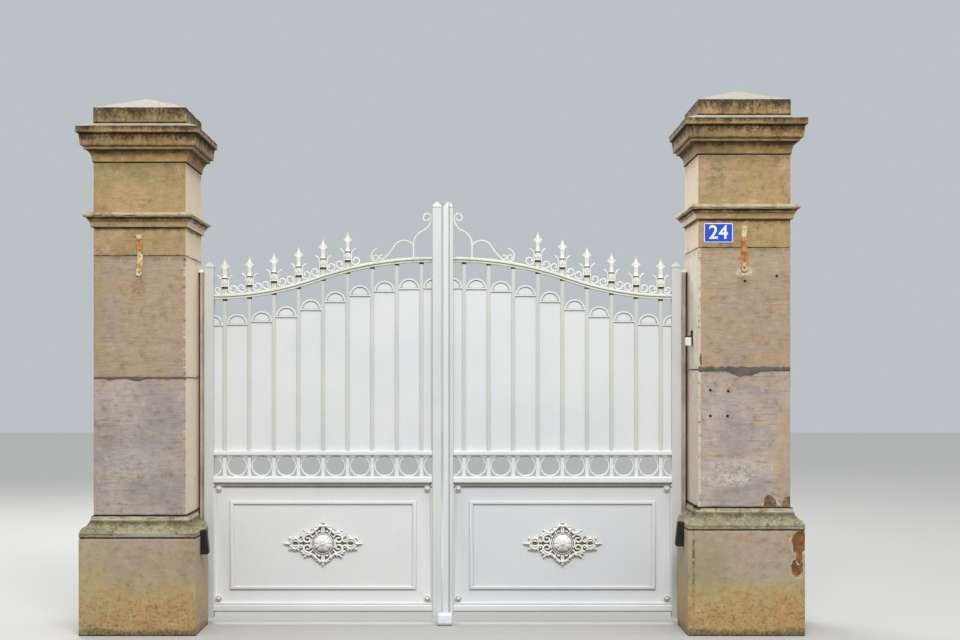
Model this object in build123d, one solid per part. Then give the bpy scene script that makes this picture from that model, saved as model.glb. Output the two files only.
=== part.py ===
from build123d import *
from math import asin, copysign, cos, degrees, radians, sin, sqrt
import os

# A two-leaf driveway gate of painted steel with cast spears and flat bar scrolls,
# hung between two moulded sandstone piers. Millimetres, +Z up, front towards -Y.
# The origin is on the ground at the centre of the opening, halfway through the piers.

# Piers
OPENING = 2640                # between the inner faces of the two shafts
SHAFT_WIDTH = 476
PLINTH_HEIGHTS = {"left": 500, "right": 542}    # the ground rises to the right
PLINTH_PROJECTION = 62
BASE_HEIGHT = 110
BASE_STEP = 18                # square edge below the cyma of the base moulding
BASE_FILLET_HEIGHT = 15
BASE_FILLET_PROJECTION = 11
BASE_QUIRK = 4                # ledge between the fillet and the cyma
BASE_CHIP = 34                # corner broken off the right base moulding
BASE_CHIP_TILT = (35, 20, 45)
LOWER_STONE = 711
MIDDLE_STONE = 628
ASTRAGAL_RISE = 147           # from the joint up to the astragal
ASTRAGAL_FOOT_HEIGHT = 9
ASTRAGAL_FOOT_PROJECTION = 14
ASTRAGAL_COVE_HEIGHT = 24
ASTRAGAL_COVE_PROJECTION = 22
ASTRAGAL_FILLET_HEIGHT = 9
ASTRAGAL_FILLET_PROJECTION = 26
ASTRAGAL_QUIRK_HEIGHT = 6     # the narrow sunk step under the bead
ASTRAGAL_QUIRK_PROJECTION = 30
BEAD_HEIGHT = 27
BEAD_PROJECTION = 46
BEAD_SWELL = 8                # how far the bead's face curves out past its edges
NECK_HEIGHT = 259
CORNICE_FOOT_HEIGHT = 4
CORNICE_FOOT_PROJECTION = 6
CAVETTO_HEIGHT = 59
CAVETTO_PROJECTION = 30
CORNICE_FILLET = 17
CORNICE_FILLET_PROJECTION = 42
CORONA_HEIGHT = 64
CORONA_FOOT_PROJECTION = 57
CORONA_PROJECTION = 64
FASCIA_HEIGHT = 34
FASCIA_PROJECTION = 76
WEATHERING = 26               # sloping top of the cornice
TOP_BLOCK_WIDTH = 480
TOP_BLOCK_HEIGHT = 80
PYRAMID_RISE = 87
PYRAMID_TIP = 2
REBATE_CLEARANCE = 7          # plinth and base are cut back this far in front of the leaf

# Leaves
LEAF_FRONT = 92
STILE = 50
CENTRE_GAP = 14
HINGE_SIDE_GAP = 40           # from the shaft to the hinge stile
HINGE_STILE_FOOT = 31
HINGE_STILE_TOP = 1914
MEETING_STILE_FOOT = 38
MEETING_STILE_TOP = 2237
STILE_COLLAR = 6
STILE_COLLAR_STEP = 2
STILE_CAP_RISE = 27
BOTTOM_RAIL_FOOT = 63
BOTTOM_RAIL_HEIGHT = 42
LOWER_RAIL_FOOT = 755
LOWER_RAIL_HEIGHT = 35
LOWER_RAIL_OVERHANG = 8
UPPER_RAIL_HEIGHT = 27
TOP_RAIL_HIGH_END = 1957      # middle of the top rail at the meeting stile
TOP_RAIL_LOW_END = 1757       # and at the hinge stile
TOP_RAIL_TURN = 680           # where the ogee turns from convex to concave, from the centre
TOP_RAIL_HEIGHT = 28
TOP_RAIL_DEPTH = 42
TOP_RAIL_COVE = 6             # how far its sides are cut back below the nose
BAR = 20
BARS = 9
BAR_END_SPACE = 57.8          # from a stile to the middle of the nearest bar
RING_BAR = 7
RING_DEPTH = 16
SEAT = 0.3                    # running clearance where pieces lie on each other

# Sheet slats between the bars
SLAT_SHEET = 4
SLAT_LIP_DROP = 153           # from the top rail's middle down to the lip
SLAT_LIP_HEIGHT = 7
SLAT_RIM = 9
SLAT_RELIEF = 6

# Kick panel
PANEL_SHEET = 12
PANEL_BEAD = 20
PANEL_BEAD_PROUD = 16
PANEL_BEAD_TAPER = 45
BOSS_RADIUS = 17
BOSS_PROUD = 18
BOSS_INSET_ACROSS = 26        # from the frame to the middle of a corner boss
BOSS_INSET_UP = 30
MOULDING_MARGIN = 84
MOULDING_WIDTH = 24
MOULDING_PROUD = 9
MOULDING_TAPER = 20

# Spears and scrolls
SPEARS = 6
SPEAR_COLLAR_WIDTH = 34
SPEAR_COLLAR_HEIGHT = 7
SPEAR_BLOCK_FOOT = 48         # heights above the top rail's middle
SPEAR_BLOCK_WIDTH = 30
SPEAR_BLOCK_HEIGHT = 50
SPEAR_NECK_FOOT_RADIUS = 13
SPEAR_NECK_TOP_RADIUS = 9
SPEAR_HEAD_FOOT_HEIGHT = 148
SPEAR_HEAD_FOOT = 6
SPEAR_ARM_HEIGHT = 161
SPEAR_ARM_THICKNESS = 4
SPEAR_ARM = 25
SPEAR_TIP_HEIGHT = 206
SPEAR_TIP = 0.8
SPEAR_HOLLOW = 5              # how far the head's sides curve in
SPEAR_UNDERCUT = 2            # and its underside
SCROLL_BAR = 7
SCROLL_DEPTH = 14
VOLUTE_UPPER = 0.75           # the volute's second and third arc, as shares of its first
VOLUTE_EYE = 0.45
VOLUTE_EYE_TURN = 90
EAR_REACH = 38
EAR_SHOULDER = 80             # where an ear leaves the spear's side
EAR_HEIGHT = 115

# Scrolls between the meeting stile and the first spear: offsets from the stile, rises from the rail
CURL_RISE = 225
CURL_RADIUS = 22
STEM_OFFSET = 100
STEM_TOP_RISE = 83
ARCH_FOOT_RISE = 73
ARCH_RADIUS = 60
ARCH_TURN = 120
ARCH_CURL_OFFSET = 265
ARCH_CURL_RADIUS = 12
ARCH_CURL_TURN = 250
SMALL_VOLUTE_OFFSET = 309
SMALL_VOLUTE_RADIUS = 18
SMALL_SHOULDER_RISE = 45
SMALL_EAR_REACH = 14
SMALL_EAR_HEIGHT = 85

# Rosette on the kick panel
ROSETTE_LENGTH = 432
ROSETTE_HEIGHT = 242
ROSETTE_PLATE = 7
ROSETTE_STROKE = 9
DOME_RADIUS = 33
DOME_RISE = 26
PETALS = 8
PETAL_RADIUS = 14
PETAL_RISE = 15
PETAL_TAPER = 25
DISH_RADIUS = 58
DISH_RIM = 5
END_LOOP_RADIUS = 19
END_LOOP_X = 152
SIDE_LOOP_RADIUS = 20
SIDE_LOOP = (80, 24)
BUD_RADIUS = 8
BUD_PROUD = 12
LEAFLET_LENGTH = 34
LEAFLET_WIDTH = 14

# Hinges and jambs
AXIS_INSET = 52               # from the shaft's inner face to the hinge pin
AXIS_DEPTH = 165
PIN_RADIUS = 6
PIN_CLEARANCE = 0.3
EYE_RADIUS = 12
EYE_HEIGHT = 40
LUG_THICKNESS = 12
HINGE_HEIGHTS = (250, 1650)
JAMB_WIDTH = 30
JAMB_FRONT = 137
JAMB_DEPTH = 60
JAMB_REBATE = (10, 40)        # sunk joint between the jamb's front and the shaft
JAMB_DROP = 24                # its top is this far below the hinge stile's
JAMB_CAP_RISE = 18

# Fittings
COVER_STRIP_WIDTH = 28
COVER_STRIP_OVERHANG = 4      # past the right stile's edge, over the gap
COVER_STRIP_THICKNESS = 6
STOP_SIZE = (75, 60, 65)
STOP_CENTRE = 12
STOP_CLEARANCE = 6
STOP_CHAMFER = 6
PHOTOCELL_SIZE = (44, 45, 128)
PHOTOCELL_TOP_WIDTH = 31
PHOTOCELL_ROUNDING = 12
PHOTOCELL_DEPTH = -140        # middle, along Y
PHOTOCELL_RISE = 29           # its top above the plinth
SENSOR_BOX_SIZE = (30, 34, 44)
SENSOR_BRACKET = 8
SENSOR_BRACKET_RISE = 35
SENSOR_FOOT = 1491
SENSOR_DEPTH = -40
SENSOR_ROUNDING = 3
STRAP_WIDTH = 40
STRAP_THICKNESS = 7
STRAP_HOLE_RADIUS = 6
STRAP_SPANS = {"left": (105, 109), "right": (125, 112)}    # below and above the capital's joint
PLATE_SIZE = (150, 3, 100)
PLATE_X = 1424
PLATE_RISE = 76               # its middle above the capital's joint

# Places that follow from the sizes above
SHAFT_FACE = OPENING / 2
PIER_CENTRE = SHAFT_FACE + SHAFT_WIDTH / 2
LEAF_BACK = LEAF_FRONT + STILE
LEAF_MIDDLE = (LEAF_FRONT + LEAF_BACK) / 2
MEETING_EDGE = CENTRE_GAP / 2
MEETING_INNER = MEETING_EDGE + STILE
HINGE_EDGE = SHAFT_FACE - HINGE_SIDE_GAP
HINGE_INNER = HINGE_EDGE - STILE
CLEAR_WIDTH = HINGE_INNER - MEETING_INNER
BAR_PITCH = (CLEAR_WIDTH - 2 * BAR_END_SPACE) / (BARS - 1)
AXIS_X = SHAFT_FACE - AXIS_INSET
RING_OUTSIDE = BAR_PITCH - BAR
LOWER_RAIL_TOP = LOWER_RAIL_FOOT + LOWER_RAIL_HEIGHT
UPPER_RAIL_FOOT = LOWER_RAIL_TOP + RING_OUTSIDE + 2 * SEAT
UPPER_RAIL_TOP = UPPER_RAIL_FOOT + UPPER_RAIL_HEIGHT
PANEL_FOOT = BOTTOM_RAIL_FOOT + BOTTOM_RAIL_HEIGHT
PANEL_HEIGHT = LOWER_RAIL_FOOT - PANEL_FOOT
PANEL_CENTRE = Pos((MEETING_INNER + HINGE_INNER) / 2, LEAF_MIDDLE, PANEL_FOOT + PANEL_HEIGHT / 2)
FIRST_BAR = MEETING_INNER + BAR_END_SPACE
BAR_CENTRES = [FIRST_BAR + i * BAR_PITCH for i in range(BARS)]
SPEAR_CENTRES = BAR_CENTRES[BARS - SPEARS:]
CAPITAL_FOOT = {side: height + BASE_HEIGHT + LOWER_STONE + MIDDLE_STONE
                for side, height in PLINTH_HEIGHTS.items()}
ASTRAGAL_HEIGHT = (ASTRAGAL_FOOT_HEIGHT + ASTRAGAL_COVE_HEIGHT + ASTRAGAL_FILLET_HEIGHT
                   + ASTRAGAL_QUIRK_HEIGHT + BEAD_HEIGHT)
CORNICE_HEIGHT = (CORNICE_FOOT_HEIGHT + CAVETTO_HEIGHT + CORNICE_FILLET + CORONA_HEIGHT
                  + FASCIA_HEIGHT + WEATHERING)
JAMB_TOP = HINGE_STILE_TOP - JAMB_DROP
STOP_BACK = LEAF_FRONT - COVER_STRIP_THICKNESS - STOP_CLEARANCE

# The ogee of the top rail: two arcs that are level at the stiles and meet at the turn
RAIL_FALL = TOP_RAIL_HIGH_END - TOP_RAIL_LOW_END
CONVEX_RUN = TOP_RAIL_TURN - MEETING_INNER
CONCAVE_RUN = HINGE_INNER - TOP_RAIL_TURN
CONVEX_FALL = RAIL_FALL * CONVEX_RUN / CLEAR_WIDTH
CONCAVE_FALL = RAIL_FALL - CONVEX_FALL
CONVEX_RADIUS = (CONVEX_RUN**2 + CONVEX_FALL**2) / (2 * CONVEX_FALL)
CONCAVE_RADIUS = (CONCAVE_RUN**2 + CONCAVE_FALL**2) / (2 * CONCAVE_FALL)
OGEE_ANGLE = degrees(asin(CONVEX_RUN / CONVEX_RADIUS))


def block(xs, ys, zs):
    """A box between two values along each axis."""
    size = [high - low for low, high in (xs, ys, zs)]
    middle = [(high + low) / 2 for low, high in (xs, ys, zs)]
    return Pos(*middle) * Box(*size)


def upright(sketch):
    """A sketch stood up in the XZ plane."""
    return Plane.XZ * sketch


def plate(sketch, front, thickness):
    """A sketch stood up and given its thickness behind the plane y = front."""
    return Pos(0, front, 0) * extrude(upright(sketch), amount=-thickness)


def reverse_curve(start, end, heading):
    """Two equal tangent arcs that leave start and reach end along the same heading."""
    span = Vector(*end) - Vector(*start)
    ahead = Vector(*heading)
    along = span.dot(ahead)
    aside = ahead.cross(span).Z
    radius = (along**2 + aside**2) / (4 * abs(aside))
    turn = copysign(degrees(asin(along / (2 * radius))), aside)
    first = JernArc(start, heading, radius, turn)
    return [first, JernArc(first @ 1, first % 1, radius, -turn)]


def steps(*corners):
    """Straight edges from corner to corner."""
    return [Line(a, b) for a, b in zip(corners, corners[1:])]


def closed(lines, corners):
    """A face bounded by joined lines and then by straight edges through the corners."""
    return make_face(lines + steps(lines[-1] @ 1, *corners, lines[0] @ 0))


def mitred(profile, side_profile=None):
    """A solid moulded on four sides, from half of its outline and of its side's if that differs."""
    half_outlines = (profile, profile if side_profile is None else side_profile)
    across, along = [
        extrude(upright(half + mirror(half, about=Plane.YZ)), amount=SHAFT_WIDTH, both=True)
        for half in half_outlines
    ]
    return across & Rot(0, 0, 90) * along


def slope(half, tip, rise):
    """Half of the outline of a pyramid on z = 0 that is cut off at its tip."""
    return make_face(Polyline((0, 0), (half, 0), (tip, rise), (0, rise), close=True))


def pyramid(width, rise):
    return mitred(slope(width / 2, PYRAMID_TIP / 2, rise))


def dome(radius, rise):
    """A cap of a ball that stands on z = 0."""
    ball = (radius**2 + rise**2) / (2 * rise)
    return Pos(0, 0, rise - ball) * Sphere(ball) & Pos(0, 0, rise) * Box(4 * radius, 4 * radius, 2 * rise)


def ogee(offset):
    """The top rail's line, moved up by offset, from the meeting stile to the hinge stile."""
    start = (MEETING_INNER, TOP_RAIL_HIGH_END + offset)
    convex = JernArc(start, (1, 0), CONVEX_RADIUS + offset, -OGEE_ANGLE)
    concave = JernArc(convex @ 1, convex % 1, CONCAVE_RADIUS - offset, OGEE_ANGLE)
    return [convex, concave]


def ogee_height(x, offset=0):
    """Height of the top rail's line, moved by offset, at a distance x from the centre."""
    if x < TOP_RAIL_TURN:
        radius = CONVEX_RADIUS + offset
        return TOP_RAIL_HIGH_END - CONVEX_RADIUS + sqrt(radius**2 - (x - MEETING_INNER) ** 2)
    radius = CONCAVE_RADIUS - offset
    return TOP_RAIL_LOW_END + CONCAVE_RADIUS - sqrt(radius**2 - (HINGE_INNER - x) ** 2)


def below_rail(offset):
    """All that lies under the top rail's line, moved by offset."""
    corners = [(HINGE_INNER, 0), (MEETING_INNER, 0)]
    return plate(closed(ogee(offset), corners), LEAF_FRONT, STILE)


# The stones of a pier, each with its foot at z = 0 on the pier's axis

def plinth(height):
    half = SHAFT_WIDTH / 2 + PLINTH_PROJECTION
    return block((-half, half), (-half, half), (0, height))


def base_moulding():
    outer = SHAFT_WIDTH / 2 + PLINTH_PROJECTION
    inner = SHAFT_WIDTH / 2 + BASE_FILLET_PROJECTION
    cyma_top = BASE_HEIGHT - BASE_FILLET_HEIGHT
    lines = [Line((outer, 0), (outer, BASE_STEP))]
    lines += reverse_curve((outer, BASE_STEP), (inner + BASE_QUIRK, cyma_top), (0, 1))
    return mitred(closed(lines, [(inner, cyma_top), (inner, BASE_HEIGHT), (0, BASE_HEIGHT), (0, 0)]))


def broken_corner():
    """The piece that has broken off the front inner corner of a base moulding."""
    corner = Pos(-SHAFT_WIDTH / 2, -SHAFT_WIDTH / 2 - BASE_FILLET_PROJECTION, BASE_HEIGHT)
    return corner * Rot(*BASE_CHIP_TILT) * Box(BASE_CHIP, BASE_CHIP, BASE_CHIP)


def shaft_stone(height):
    half = SHAFT_WIDTH / 2
    return block((-half, half), (-half, half), (0, height))


def capital_stone():
    """The upper stone: a plain course, the stepped astragal with its bead, and the neck."""
    half = SHAFT_WIDTH / 2
    foot = half + ASTRAGAL_FOOT_PROJECTION
    foot_top = ASTRAGAL_RISE + ASTRAGAL_FOOT_HEIGHT
    cove_top = foot_top + ASTRAGAL_COVE_HEIGHT
    ledge = half + ASTRAGAL_FILLET_PROJECTION
    ledge_top = cove_top + ASTRAGAL_FILLET_HEIGHT
    quirk = half + ASTRAGAL_QUIRK_PROJECTION
    bead_foot = ledge_top + ASTRAGAL_QUIRK_HEIGHT
    bead_top = bead_foot + BEAD_HEIGHT
    bead_edge = half + BEAD_PROJECTION - BEAD_SWELL
    bead_middle = (half + BEAD_PROJECTION, (bead_foot + bead_top) / 2)
    cove = TangentArc((foot, foot_top), (half + ASTRAGAL_COVE_PROJECTION, cove_top), tangent=(0, 1))
    bead = ThreePointArc((bead_edge, bead_foot), bead_middle, (bead_edge, bead_top))
    lines = steps((half, 0), (half, ASTRAGAL_RISE), (foot, ASTRAGAL_RISE), (foot, foot_top))
    lines.append(cove)
    lines += steps(cove @ 1, (ledge, cove_top), (ledge, ledge_top), (quirk, ledge_top),
                   (quirk, bead_foot), bead @ 0)
    lines.append(bead)
    height = bead_top + NECK_HEIGHT
    return mitred(closed(lines, [(half, bead_top), (half, height), (0, height), (0, 0)]))


def cornice():
    """A foot fillet and cavetto, a fillet, the corona, the fascia and the sloping top."""
    half = SHAFT_WIDTH / 2
    foot = half + CORNICE_FOOT_PROJECTION
    cavetto_top = CORNICE_FOOT_HEIGHT + CAVETTO_HEIGHT
    ledge = half + CORNICE_FILLET_PROJECTION
    corona_foot = cavetto_top + CORNICE_FILLET
    corona_top = corona_foot + CORONA_HEIGHT
    fascia = half + FASCIA_PROJECTION
    fascia_top = corona_top + FASCIA_HEIGHT
    low = Line((foot, 0), (foot, CORNICE_FOOT_HEIGHT))
    cavetto = TangentArc(low @ 1, (half + CAVETTO_PROJECTION, cavetto_top), tangent=(0, 1))
    return mitred(closed([low, cavetto], [
        (ledge, cavetto_top),
        (ledge, corona_foot),
        (half + CORONA_FOOT_PROJECTION, corona_foot),
        (half + CORONA_PROJECTION, corona_top),
        (fascia, corona_top),
        (fascia, fascia_top),
        (TOP_BLOCK_WIDTH / 2, CORNICE_HEIGHT),
        (0, CORNICE_HEIGHT),
        (0, 0),
    ]))


def top_block():
    half = TOP_BLOCK_WIDTH / 2
    body = block((-half, half), (-half, half), (0, TOP_BLOCK_HEIGHT))
    return body + Pos(0, 0, TOP_BLOCK_HEIGHT) * pyramid(TOP_BLOCK_WIDTH, PYRAMID_RISE)


def cut_back():
    """The space taken out of the right pier's foot, level with the shaft's inner face."""
    reach = PLINTH_PROJECTION + SEAT
    back = SHAFT_WIDTH / 2 + reach
    height = max(PLINTH_HEIGHTS.values()) + BASE_HEIGHT
    return block((SHAFT_FACE - reach, SHAFT_FACE), (LEAF_FRONT - REBATE_CLEARANCE, back), (0, height))


def pier(side, sign):
    """The stones of one pier, stacked face to face."""
    base = base_moulding()
    stones = [
        ("plinth", plinth(PLINTH_HEIGHTS[side]), PLINTH_HEIGHTS[side]),
        ("base_moulding", base - broken_corner() if side == "right" else base, BASE_HEIGHT),
        ("lower_shaft_stone", shaft_stone(LOWER_STONE), LOWER_STONE),
        ("middle_shaft_stone", shaft_stone(MIDDLE_STONE), MIDDLE_STONE),
        ("capital_stone", capital_stone(), ASTRAGAL_RISE + ASTRAGAL_HEIGHT + NECK_HEIGHT),
        ("cornice", cornice(), CORNICE_HEIGHT),
        ("top_block", top_block(), TOP_BLOCK_HEIGHT),
    ]
    placed = {}
    foot = 0
    for name, stone, height in stones:
        stone = Pos(PIER_CENTRE, 0, foot) * stone
        if foot <= PLINTH_HEIGHTS[side]:
            stone -= cut_back()
        placed[f"{side}_{name}"] = handed(stone, sign)
        foot += height
    return placed


def handed(piece, sign):
    """A piece drawn for the right side, mirrored where it belongs to the left."""
    return piece if sign > 0 else mirror(piece, about=Plane.YZ)


# The leaf, drawn for the right side

def stile_cap(x, top):
    collar = STILE / 2 + STILE_COLLAR_STEP
    ring = block((x - collar, x + collar), (LEAF_MIDDLE - collar, LEAF_MIDDLE + collar),
                 (top, top + STILE_COLLAR))
    return ring + Pos(x, LEAF_MIDDLE, top + STILE_COLLAR) * pyramid(STILE, STILE_CAP_RISE)


def hinge_eye(height):
    """A barrel round the hinge pin, with the tab that is welded to the stile's back."""
    barrel = Pos(AXIS_X, AXIS_DEPTH, height + EYE_HEIGHT / 2) * Cylinder(EYE_RADIUS, EYE_HEIGHT)
    tab = block((AXIS_X - EYE_RADIUS, AXIS_X), (LEAF_BACK, AXIS_DEPTH), (height, height + EYE_HEIGHT))
    bore = Pos(AXIS_X, AXIS_DEPTH, height + EYE_HEIGHT / 2) * Cylinder(PIN_RADIUS + PIN_CLEARANCE, EYE_HEIGHT)
    return barrel + tab - bore


def hinge_stile():
    shaft = block((HINGE_INNER, HINGE_EDGE), (LEAF_FRONT, LEAF_BACK), (HINGE_STILE_FOOT, HINGE_STILE_TOP))
    stile = shaft + stile_cap((HINGE_INNER + HINGE_EDGE) / 2, HINGE_STILE_TOP)
    for height in HINGE_HEIGHTS:
        stile += hinge_eye(height + SEAT)
    return stile


def meeting_stile():
    shaft = block((MEETING_EDGE, MEETING_INNER), (LEAF_FRONT, LEAF_BACK),
                  (MEETING_STILE_FOOT, MEETING_STILE_TOP))
    return shaft + stile_cap((MEETING_EDGE + MEETING_INNER) / 2, MEETING_STILE_TOP)


def top_rail():
    """A moulded handrail section swept along the ogee."""
    half = TOP_RAIL_HEIGHT / 2
    edge = TOP_RAIL_DEPTH / 2
    waist = edge - TOP_RAIL_COVE
    outline = Polyline(
        (BAR / 2, half), (edge, half / 2), (edge, 0), (waist, -half / 3), (waist, -half),
        (-waist, -half), (-waist, -half / 3), (-edge, 0), (-edge, half / 2), (-BAR / 2, half),
        (BAR / 2, half),
    )
    section = Plane.YZ * make_face(outline)
    section = Pos(MEETING_INNER, LEAF_MIDDLE, TOP_RAIL_HIGH_END) * section
    path = Wire([Pos(0, LEAF_MIDDLE, 0) * upright(line) for line in ogee(0)])
    return sweep(section, path=path)


def level_rail(foot, height, overhang):
    """A level rail from stile to stile with rounded long edges."""
    depth = STILE + 2 * overhang
    section = RectangleRounded(depth, height, height / 4)
    rail = extrude(Plane.YZ * section, amount=CLEAR_WIDTH)
    return Pos(MEETING_INNER, LEAF_MIDDLE, foot + height / 2) * rail


def bars():
    """Nine square bars from the upper mid rail to the underside of the top rail."""
    whole = Part()
    for x in BAR_CENTRES:
        whole += block((x - BAR / 2, x + BAR / 2), (LEAF_MIDDLE - BAR / 2, LEAF_MIDDLE + BAR / 2),
                       (UPPER_RAIL_TOP, TOP_RAIL_HIGH_END))
    return whole & below_rail(-TOP_RAIL_HEIGHT / 2)


def slat_sketches(x, head_radius, shift):
    """The sheet, its lip and its rim for the bay at x, moved aside by shift where a stile cuts it."""
    lip = ogee_height(x) - SLAT_LIP_DROP
    x += shift
    middle = (UPPER_RAIL_TOP + lip) / 2
    sheet = Pos(x, middle) * Rectangle(2 * head_radius, lip - UPPER_RAIL_TOP)
    head = Pos(x, lip) * Circle(head_radius)
    ledge = Pos(x, lip) * Rectangle(2 * head_radius, SLAT_LIP_HEIGHT)
    rim = head - Pos(x, lip) * Circle(head_radius - SLAT_RIM)
    above = Pos(x, lip + head_radius) * Rectangle(2 * head_radius, 2 * head_radius)
    return sheet + head, ledge + (rim & above)


def slats():
    """Sheets with arched heads that fill each bay, cut by the stiles at both ends."""
    head_radius = (BAR_PITCH - BAR) / 2
    between_stiles = block((MEETING_INNER, HINGE_INNER), (LEAF_FRONT, LEAF_BACK),
                           (UPPER_RAIL_TOP, TOP_RAIL_HIGH_END))
    middles = [x + BAR_PITCH / 2 for x in [FIRST_BAR - BAR_PITCH, *BAR_CENTRES]]
    whole = Part()
    for x in middles:
        inside = min(max(x, MEETING_INNER), HINGE_INNER)
        sheet, relief = slat_sketches(inside, head_radius, x - inside)
        thick = SLAT_SHEET + 2 * SLAT_RELIEF
        slat = plate(sheet, LEAF_MIDDLE - SLAT_SHEET / 2, SLAT_SHEET)
        slat += plate(relief, LEAF_MIDDLE - thick / 2, thick)
        whole += slat & between_stiles
    return whole


def ring_band():
    """Rings between short balusters, welded where they touch."""
    height = (LOWER_RAIL_TOP, UPPER_RAIL_FOOT)
    level = sum(height) / 2
    depth = (LEAF_MIDDLE - RING_DEPTH / 2, LEAF_MIDDLE + RING_DEPTH / 2)
    whole = Part()
    for x in BAR_CENTRES:
        whole += block((x - BAR / 2, x + BAR / 2), (LEAF_MIDDLE - BAR / 2, LEAF_MIDDLE + BAR / 2), height)
    for x in [FIRST_BAR - BAR_PITCH, *BAR_CENTRES]:
        outside = RING_OUTSIDE / 2
        ring = Circle(outside + SEAT / 2) - Circle(outside - RING_BAR)
        whole += plate(Pos(x + BAR_PITCH / 2, level) * ring, depth[0], RING_DEPTH)
    return whole & block((MEETING_INNER, HINGE_INNER), (LEAF_FRONT, LEAF_BACK), height)


def inset(margin):
    """The kick panel's rectangle, smaller by a margin on every side."""
    return upright(Rectangle(CLEAR_WIDTH - 2 * margin, PANEL_HEIGHT - 2 * margin))


def kick_panel():
    """The sheet with beads against its frame, corner bosses and a raised rectangle."""
    sheet = Pos(0, -PANEL_SHEET / 2, 0) * extrude(inset(0), amount=-PANEL_SHEET)
    hollow = extrude(inset(PANEL_BEAD), amount=PANEL_BEAD_PROUD, taper=-PANEL_BEAD_TAPER)
    beads = extrude(inset(0), amount=PANEL_BEAD_PROUD) - hollow
    beads = Pos(0, -PANEL_SHEET / 2, 0) * beads
    raised = inset(MOULDING_MARGIN) - inset(MOULDING_MARGIN + MOULDING_WIDTH)
    raised = Pos(0, -PANEL_SHEET / 2, 0) * extrude(raised, amount=MOULDING_PROUD, taper=MOULDING_TAPER)
    panel = sheet + beads + mirror(beads, about=Plane.XZ) + raised
    boss = Pos(0, -PANEL_SHEET / 2 - BOSS_PROUD / 2, 0) * Rot(90, 0, 0) * Cone(
        BOSS_RADIUS, BOSS_RADIUS / 2, BOSS_PROUD)
    across = CLEAR_WIDTH / 2 - BOSS_INSET_ACROSS
    up = PANEL_HEIGHT / 2 - BOSS_INSET_UP
    for x, z in ((-across, -up), (-across, up), (across, -up), (across, up)):
        panel += Pos(x, 0, z) * boss
    return PANEL_CENTRE * panel


def leaflet(x, z, angle):
    """A leaf with two curved sides that meet in points, its middle at x and z."""
    ends = ((-LEAFLET_LENGTH / 2, 0), (LEAFLET_LENGTH / 2, 0))
    sides = [SagittaArc(*ends, LEAFLET_WIDTH / 2), SagittaArc(*reversed(ends), LEAFLET_WIDTH / 2)]
    return Pos(x, z) * Rot(0, 0, angle) * make_face(sides)


def point(root, tip):
    """A slender point that tapers from root to tip along X."""
    half = ROSETTE_STROKE / 2
    return make_face(Polyline((root, half), (root, -half), (tip, 0), close=True))


def foliage_quarter():
    """The leafwork of the rosette's upper right quarter, drawn from its middle."""
    top = (0, ROSETTE_HEIGHT / 2 - 3 * BUD_RADIUS)
    shoulder = (DISH_RADIUS + DISH_RIM, SIDE_LOOP[1] + SIDE_LOOP_RADIUS + ROSETTE_STROKE)
    brow_middle = (shoulder[0] / 2, (top[1] + shoulder[1] + ROSETTE_STROKE) / 2)
    end_loop = END_LOOP_RADIUS - ROSETTE_STROKE / 2
    side_loop = CenterArc(SIDE_LOOP, SIDE_LOOP_RADIUS, -150, 300)
    strokes = [
        ThreePointArc(top, brow_middle, shoulder),
        side_loop,
        ThreePointArc(side_loop @ 0.5, (END_LOOP_X - 2 * END_LOOP_RADIUS, 2 * ROSETTE_STROKE),
                      (END_LOOP_X, end_loop)),
        CenterArc((END_LOOP_X, 0), end_loop, 0, 180),
    ]
    quarter = Sketch()
    for line in strokes:
        quarter += trace(line, ROSETTE_STROKE)
    quarter += leaflet(shoulder[0] + LEAFLET_LENGTH / 3, shoulder[1], 15)
    quarter += leaflet(END_LOOP_X, END_LOOP_RADIUS + LEAFLET_WIDTH / 3, 20)
    quarter += leaflet(END_LOOP_X + END_LOOP_RADIUS, END_LOOP_RADIUS - ROSETTE_STROKE, -35)
    return quarter


def rosette():
    """Pierced foliage with a domed flower in a dish at its middle, mirrored from one quarter."""
    foliage = extrude(foliage_quarter(), amount=ROSETTE_PLATE)
    foliage += mirror(foliage, about=Plane.YZ)
    foliage += mirror(foliage, about=Plane.XZ)
    on_panel = (Align.CENTER, Align.CENTER, Align.MIN)
    foliage += Cylinder(DISH_RADIUS + DISH_RIM, ROSETTE_PLATE, align=on_panel)
    foliage -= Pos(0, 0, ROSETTE_PLATE / 2) * Cylinder(DISH_RADIUS, ROSETTE_PLATE, align=on_panel)
    half_length = ROSETTE_LENGTH / 2
    half_height = ROSETTE_HEIGHT / 2
    for turn in (0, 180):
        ends = point(END_LOOP_X + END_LOOP_RADIUS - ROSETTE_STROKE, half_length)
        ends += Rot(0, 0, 90) * point(half_height - 2 * BUD_RADIUS, half_height)
        foliage += Rot(0, 0, turn) * extrude(ends, amount=ROSETTE_PLATE)
        bud = Pos(0, half_height - 2.5 * BUD_RADIUS, 0) * Cylinder(BUD_RADIUS, BUD_PROUD, align=on_panel)
        foliage += Rot(0, 0, turn) * bud
    foliage += dome(DOME_RADIUS, DOME_RISE)
    petal = extrude(RegularPolygon(PETAL_RADIUS, 6), amount=PETAL_RISE, taper=PETAL_TAPER)
    for i in range(PETALS):
        foliage += Rot(0, 0, 360 / PETALS * i) * Pos(DOME_RADIUS, 0, 0) * petal
    return PANEL_CENTRE * Pos(0, -PANEL_SHEET / 2, 0) * Rot(90, 0, 0) * foliage


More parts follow.
